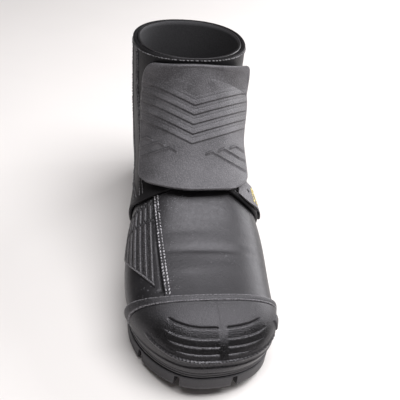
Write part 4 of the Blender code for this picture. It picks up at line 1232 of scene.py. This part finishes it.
# the midsole's section from its lower to its upper edge: inset, share of the height, lift
mid = dict(
    profile=(
        (2.2, 0.0, 0.0), (2.2, 0.0, 0.5), (1.1, 0.0, 0.8), (0.72, 0.0, 1.2), (0.6, 0.0, 1.7),
        (0.6, 0.40, 0.0), (1.1, 0.44, 0.0), (1.1, 0.50, 0.0), (0.6, 0.54, 0.0), (0.6, 1.0, -1.6),
        (0.72, 1.0, -1.1), (1.1, 1.0, -0.7), (1.65, 1.0, -0.4), (1.65, 1.0, 0.0),
    ),
    rubAndHighlight=0.5,
    rubRows=(9, 12),
    steps=4,
)


def buildMidsole():
    # a loop for each step of the profile, at its share of the height between the outsole and the upper
    edge, outward, cut, sideCount = soleLoop()

    def heightAt(share, lift):
        def at(s):
            low, high = outsoleTopZ(s) + last["seat"], featherZ(s)
            return low + (high - low) * share + lift

        return at

    rows = [soleRing(edge, outward, inset, heightAt(*rest)) for inset, *rest in mid["profile"]]
    wear = np.zeros((len(rows), len(cut)))
    wear[slice(*mid["rubRows"])] = mid["rubAndHighlight"]
    strips = [(mid["steps"], None)] * 2
    loopPiece("midsoleBand", rows, sideCount, strips, soleRubber, "midsole", wear=wear)


# the insole's section: inset, height over the upper's bottom edge
insole = dict(
    margin=-9.5, profile=((0.0, 0.0), (0.0, 2.8), (0.35, 3.65), (1.2, 4.0), (4.0, 4.0)),
    steps=(4, 16), sharp=60.0,
)


def buildInsole():
    # a loop for each step of the profile
    edge, outward, _, sideCount = soleLoop(insole["margin"])

    def heightAt(lift):
        return lambda s: featherZ(s) + last["seat"] + lift

    rows = [soleRing(edge, outward, inset, heightAt(lift)) for inset, lift in insole["profile"]]
    strips = [(steps, None) for steps in insole["steps"]]
    loopPiece("feltInsole", rows, sideCount, strips, felt, "insole", sharp=insole["sharp"])


# Lateral fastening: webbing from the flap down the quarter, sewn down with a crossed box
strap = dict(
    start=36.0, length=29.5, along=154.0, drift=-5.0, width=22.0, stand=4.2, bow=1.0, thick=1.7, round=0.8,
    hole=(0.40, 0.55), holeEdge=(2.0, 0.8), holeDeep=1.2, rows=40, columns=50,
)


def strapPoint(share, wide, lift):
    # share down the strap, wide across it, lift above its underside; it drifts and bows by half a sine
    across = strap["start"] + strap["length"] * share
    along = strap["along"] + strap["drift"] * np.sin(np.pi * share) + strap["width"] * wide
    return onUpper(along, across, strap["stand"] + strap["bow"] * np.sin(np.pi * share**2) + lift)


def buildStrap():
    # flat webbing with rounded edges and a punched hole
    share = edgedLine(strap["length"], strap["rows"], strap["round"]) / strap["length"]
    wide = edgedLine(strap["width"], strap["columns"], strap["round"]) / strap["width"]
    shares, wides = np.meshgrid(share, wide, indexing="ij")
    fit = np.stack([shares * strap["length"], wides * strap["width"]], axis=-1)
    size = np.array([strap["length"], strap["width"]])
    rim = np.minimum(fit, size - fit).min(axis=-1)
    half = strap["thick"] / 2
    bulge = edgeLift(rim, strap["round"]) * half
    way = np.linalg.norm(fit - size * strap["hole"], axis=-1)
    pit = fadeOut(way, strap["holeEdge"])
    top = strapPoint(shares, wides, half + bulge - strap["holeDeep"] * pit)
    under = strapPoint(shares, wides, half - bulge)
    # painted shade in the punched hole
    sheetPiece("webbingStrap", top, under, webbing, "side_strap", np.stack([fit, fit]), soil=pit)


ring = dict(wire=3.0, reach=7.6, stand=5.7, square=5.0, along=166.0, wide=24.4, marks=160, sides=16)


def buildRing():
    # superellipse path carried by a round wire
    angle = np.linspace(0.0, 2 * np.pi, ring["marks"] + 1)[:-1]
    power = 2.0 / ring["square"]
    a = 0.5 * np.sign(np.cos(angle)) * np.abs(np.cos(angle)) ** power
    c = 0.5 + 0.5 * np.sign(np.sin(angle)) * np.abs(np.sin(angle)) ** power
    along = ring["along"] + a * ring["wide"]
    across = strap["start"] + strap["length"] + ring["wire"] / 2 + 2 * last["seat"] + c * ring["reach"]
    line = onUpper(along, across, ring["stand"])
    ahead = unit(np.roll(line, -1, axis=0) - np.roll(line, 1, axis=0))
    side = unit(np.cross(ahead, upperNormal(*place(along, across))))
    rise = unit(np.cross(side, ahead))
    around = np.linspace(0.0, 2 * np.pi, ring["sides"] + 1)[:-1, None]
    spokes = np.cos(around) * side[:, None] + np.sin(around) * rise[:, None]
    loops = line[:, None] + ring["wire"] / 2 * spokes
    index = np.arange(ring["marks"] * ring["sides"]).reshape(-1, ring["sides"])
    index = np.pad(index, ((0, 1), (0, 1)), mode="wrap")
    addPiece("strapRing", loops, gridQuads(index), [ringPaint], "strap_ring")


# one stitch: its marks, how blunt its ends are, how uneven its size, place and direction
stitch = dict(
    rings=6, sides=6, blunt=0.7, sizeSpread=0.16, least=0.6, most=1.3, stray=0.12, halfStep=0.4
)


def stitchPiece(name, centre, ahead, out, size, material, slant=0.0):
    # one small superellipsoid per stitch, all in one mesh
    u = np.linspace(-np.pi / 2, np.pi / 2, stitch["rings"])[:, None]
    v = np.linspace(0.0, 2 * np.pi, stitch["sides"] + 1)[None, :-1]
    slim = np.cos(u) ** stitch["blunt"]
    shape = np.stack([np.sin(u) * np.ones(v.shape), slim * np.cos(v), slim * np.sin(v)], axis=-1)
    shape = shape.reshape(-1, 3) * np.array(size) / 2
    ahead = unit(unit(ahead) + slant * unit(np.cross(out, ahead)))
    side = unit(np.cross(out, ahead))
    axes = np.stack([ahead, side, unit(np.cross(ahead, side))], axis=1)
    grow = chance.normal(1.0, stitch["sizeSpread"], (len(centre), 1, 3))
    grow = np.clip(grow, stitch["least"], stitch["most"])
    points = centre[:, None, :] + np.einsum("npk,nkc->npc", shape * grow, axes)
    table = np.arange(len(shape)).reshape(stitch["rings"], stitch["sides"])
    quads = gridQuads(np.concatenate([table, table[:, :1]], axis=1))
    faces = (np.arange(len(centre)) * len(shape))[:, None, None] + quads[None]
    addPiece(name, points, faces.reshape(-1, 4), [material])


def stitchRow(pathAt, length, pitch):
    # centres and directions of stitches at even steps along a path function, a little uneven
    at = np.arange(pitch / 2, length, pitch)
    at = at + chance.normal(0.0, stitch["stray"], len(at))
    ahead = unit(pathAt(at + stitch["halfStep"]) - pathAt(at - stitch["halfStep"]))
    return pathAt(at), ahead + chance.normal(0.0, stitch["stray"], ahead.shape)


# seams: front and collar give a row's first turn, millimetres for each turn, and length
thread = dict(
    pitch=2.9, size=(2.7, 1.6, 1.0), end=93.0, lift=0.15, slant=-0.4, frontGaps=(4.5, 7.5),
    front=(0.16, 132.0, 96.0), sideGap=3.4, sideMarks=240, collarGap=7.0, collar=(-0.98, 128.0, 250.0),
)
quarterTop = quarter["seat"] + quarter["thick"] + thread["lift"]
# double rows up the medial side of the quarters
sideRows = (
    dict(along=(161.5, 179.0, 198.0, 228.0, 254.0), across=(-52.5, -61.0, -72.0, -83.0, -86.0)),
    dict(along=(160.0, 171.0, 196.0, 228.0, 254.0), across=(-44.5, -46.0, -52.0, -60.0, -63.0)),
)


def vampPath(offset):
    # beside the outer seam line, on the lap
    def at(where):
        along = upper["seamFrom"] + where
        return onUpper(along, seamAcross(along) + offset, lapHigh(along) + thread["lift"])

    return at, thread["end"]


def quarterPath(runAt, start, scale, length):
    # on the quarters, with turn growing evenly and run from a function of it
    def at(where):
        turn = start + where / scale
        return lifted(runAt(turn), turn, np.full(np.shape(where), quarterTop))

    return at, length


def sidePath(line, gap):
    # natural cubic through the row's knots and on to the collar row, read at its true lengths
    run, turn = place(line["along"], np.array(line["across"]) - gap)
    run, turn = np.r_[run, collarRun - thread["collarGap"]], np.r_[turn, turn[-1]]
    knots, fine = np.linspace(0.0, 1.0, len(run)), np.linspace(0.0, 1.0, thread["sideMarks"])
    height = np.full(len(fine), quarterTop)
    path = heelRounded(naturalCurve(knots, run)(fine), naturalCurve(knots, turn)(fine), height)
    length = lengthsOf(path)

    def at(where):
        return np.stack([np.interp(where, length, path[:, k]) for k in range(3)], axis=-1)

    return at, length[-1]


def collarRow(turn):
    # run of the row below the collar, the same all round
    return np.full(np.shape(turn), collarRun - thread["collarGap"])


def buildSeams():
    # pale rows along the lap; black ones behind the lateral front edge, up the medial side, round the collar
    pale = [vampPath(offset) for offset in (0.0, upper["rowGap"])]
    fronts = [lambda turn, gap=gap: quarterFront(turn) + gap for gap in thread["frontGaps"]]
    dark = [quarterPath(runAt, *thread["front"]) for runAt in fronts]
    dark += [sidePath(line, gap) for line in sideRows for gap in (0.0, thread["sideGap"])]
    dark.append(quarterPath(collarRow, *thread["collar"]))
    rows = [stitchRow(*path, thread["pitch"]) for path in pale + dark]
    count = sum(len(centre) for centre, _ in rows[: len(pale)])
    centre, ahead = map(np.concatenate, zip(*rows))
    out = unit(np.cross(ahead, np.cross(centre - centre.mean(axis=0), ahead)))
    first, rest = slice(count), slice(count, None)
    for name, part, material, slot, slant in (
        ("greyStitches", first, greyThread, "upper", thread["slant"]),
        ("blackStitches", rest, blackThread, "quarters", 0.0),
    ):
        stitchPiece(name, centre[part], ahead[part], out[part], thread["size"], material, slant)


box = dict(low=0.56, high=0.94, left=0.2, right=0.8, pitch=2.3, size=(2.2, 1.0, 0.8))


def boxPath(start, stop):
    # straight line between two spots of the strap
    way = np.subtract(stop, start)
    length = np.hypot(way[0] * strap["length"], way[1] * strap["width"])

    def at(where, lift=strap["thick"] + thread["lift"]):
        return strapPoint(start[0] + way[0] * where / length, start[1] + way[1] * where / length, lift)

    return at, length


def buildBoxStitch():
    # a sewn box with a cross in it, on the strap's face
    low, high, left, right = (box[key] for key in ("low", "high", "left", "right"))
    corner = [(low, left), (low, right), (high, right), (high, left)]
    lines = ((0, 1), (1, 2), (2, 3), (3, 0), (0, 2), (1, 3))
    paths = [boxPath(corner[a], corner[b]) for a, b in lines]
    centre, ahead = map(np.concatenate, zip(*(stitchRow(*path, box["pitch"]) for path in paths)))
    out = []
    for at, length in paths:
        where = np.arange(box["pitch"] / 2, length, box["pitch"])
        out.append(at(where, strap["thick"] + 1.0) - at(where, strap["thick"]))
    out = np.concatenate(out)
    stitchPiece("yellowStitches", centre, ahead, out, box["size"], yellowThread)


buildOutsole()
buildMidsole()
buildInsole()
buildUpper()
buildQuarters()
buildToeCap()
buildToeBead()
buildFlap()
buildGuard()
buildStrap()
buildRing()
buildSeams()
buildBoxStitch()
print("pieces ready")


# Floor, light and camera
studio = dict(
    floor=0.83, floorTint=(1.0, 0.965, 0.955), floorHalf=3.0, floorPatch=120.0, floorDark=0.985,
    floorRough=0.8, world=0.12, worldTint=(1.0, 0.93, 0.91),
    topSize=(1.3, 0.6), topPower=20.5, topAt=(0.28, -0.18, 1.2),
    sideSize=(1.0, 0.8), sidePower=17.0, sideAt=(1.15, 0.55, 0.55), sideAim=(0.0, 0.0, 0.06),
)
view = dict(
    spot=(-77.6, 569.8, 417.9), aim=(7.4, 157.1, 73.6), roll=6.96, focal=624.0, frame=400.0, sensor=36.0,
)


def buildFloor():
    # flat square under the boot with a barely mottled paper finish
    half = studio["floorHalf"]
    mesh = bpy.data.meshes.new("paperFloor")
    corners = [(-half, -half, 0), (half, -half, 0), (half, half, 0), (-half, half, 0)]
    mesh.from_pydata(corners, [], [(0, 1, 2, 3)])
    paper = Finish("paper", Roughness=studio["floorRough"])
    tone = paper.noise(studio["floorPatch"], 2.0).within(0.3, 0.7)
    pale, tint = studio["floor"], studio["floorTint"]
    paper.paint("Base Color", tone.blend(grey(pale * studio["floorDark"], tint), grey(pale, tint)))
    mesh.materials.append(paper.made)
    floor = bpy.data.objects.new("paperFloor", mesh)
    bpy.context.collection.objects.link(floor)


def lookAt(spot, target, roll=0.0):
    # matrix whose -Z points at the target, turned about that line by roll
    spot, target = np.asarray(spot, float), np.asarray(target, float)
    ahead = unit(target - spot)
    right = unit(np.cross(ahead, (0.0, 0.0, 1.0)))
    rise = np.cross(right, ahead)
    turn = np.radians(roll)
    x = right * np.cos(turn) + rise * np.sin(turn)
    y = rise * np.cos(turn) - right * np.sin(turn)
    made = np.eye(4)
    made[:3, 0], made[:3, 1], made[:3, 2], made[:3, 3] = x, y, -ahead, spot
    return Matrix(made.tolist())


def addSoftbox(name, placed, size, power):
    # a rectangular area light that shines down its own -Z
    lamp = bpy.data.lights.new(name, "AREA")
    lamp.shape = "RECTANGLE"
    lamp.size, lamp.size_y = size
    lamp.energy = power
    softbox = bpy.data.objects.new(name, lamp)
    softbox.matrix_world = placed
    bpy.context.collection.objects.link(softbox)


buildFloor()
overhead = Matrix.Translation(studio["topAt"])
beside = lookAt(studio["sideAt"], studio["sideAim"])
addSoftbox("topLight", overhead, studio["topSize"], studio["topPower"])
addSoftbox("sideLight", beside, studio["sideSize"], studio["sidePower"])
world = bpy.data.worlds.new("studio")
world.use_nodes = True
sky = world.node_tree.nodes["Background"]
sky.inputs["Color"].default_value = (*studio["worldTint"], 1.0)
sky.inputs["Strength"].default_value = studio["world"]
bpy.context.scene.world = world
bpy.context.scene.view_settings.view_transform = "Standard"
camera = bpy.data.cameras.new("camera")
camera.sensor_width = view["sensor"]
camera.lens = view["sensor"] * view["focal"] / view["frame"]
eye = bpy.data.objects.new("camera", camera)
eye.matrix_world = lookAt(toFrame(view["spot"]), toFrame(view["aim"]), view["roll"])
bpy.context.collection.objects.link(eye)
bpy.context.scene.camera = eye
print("studio ready")
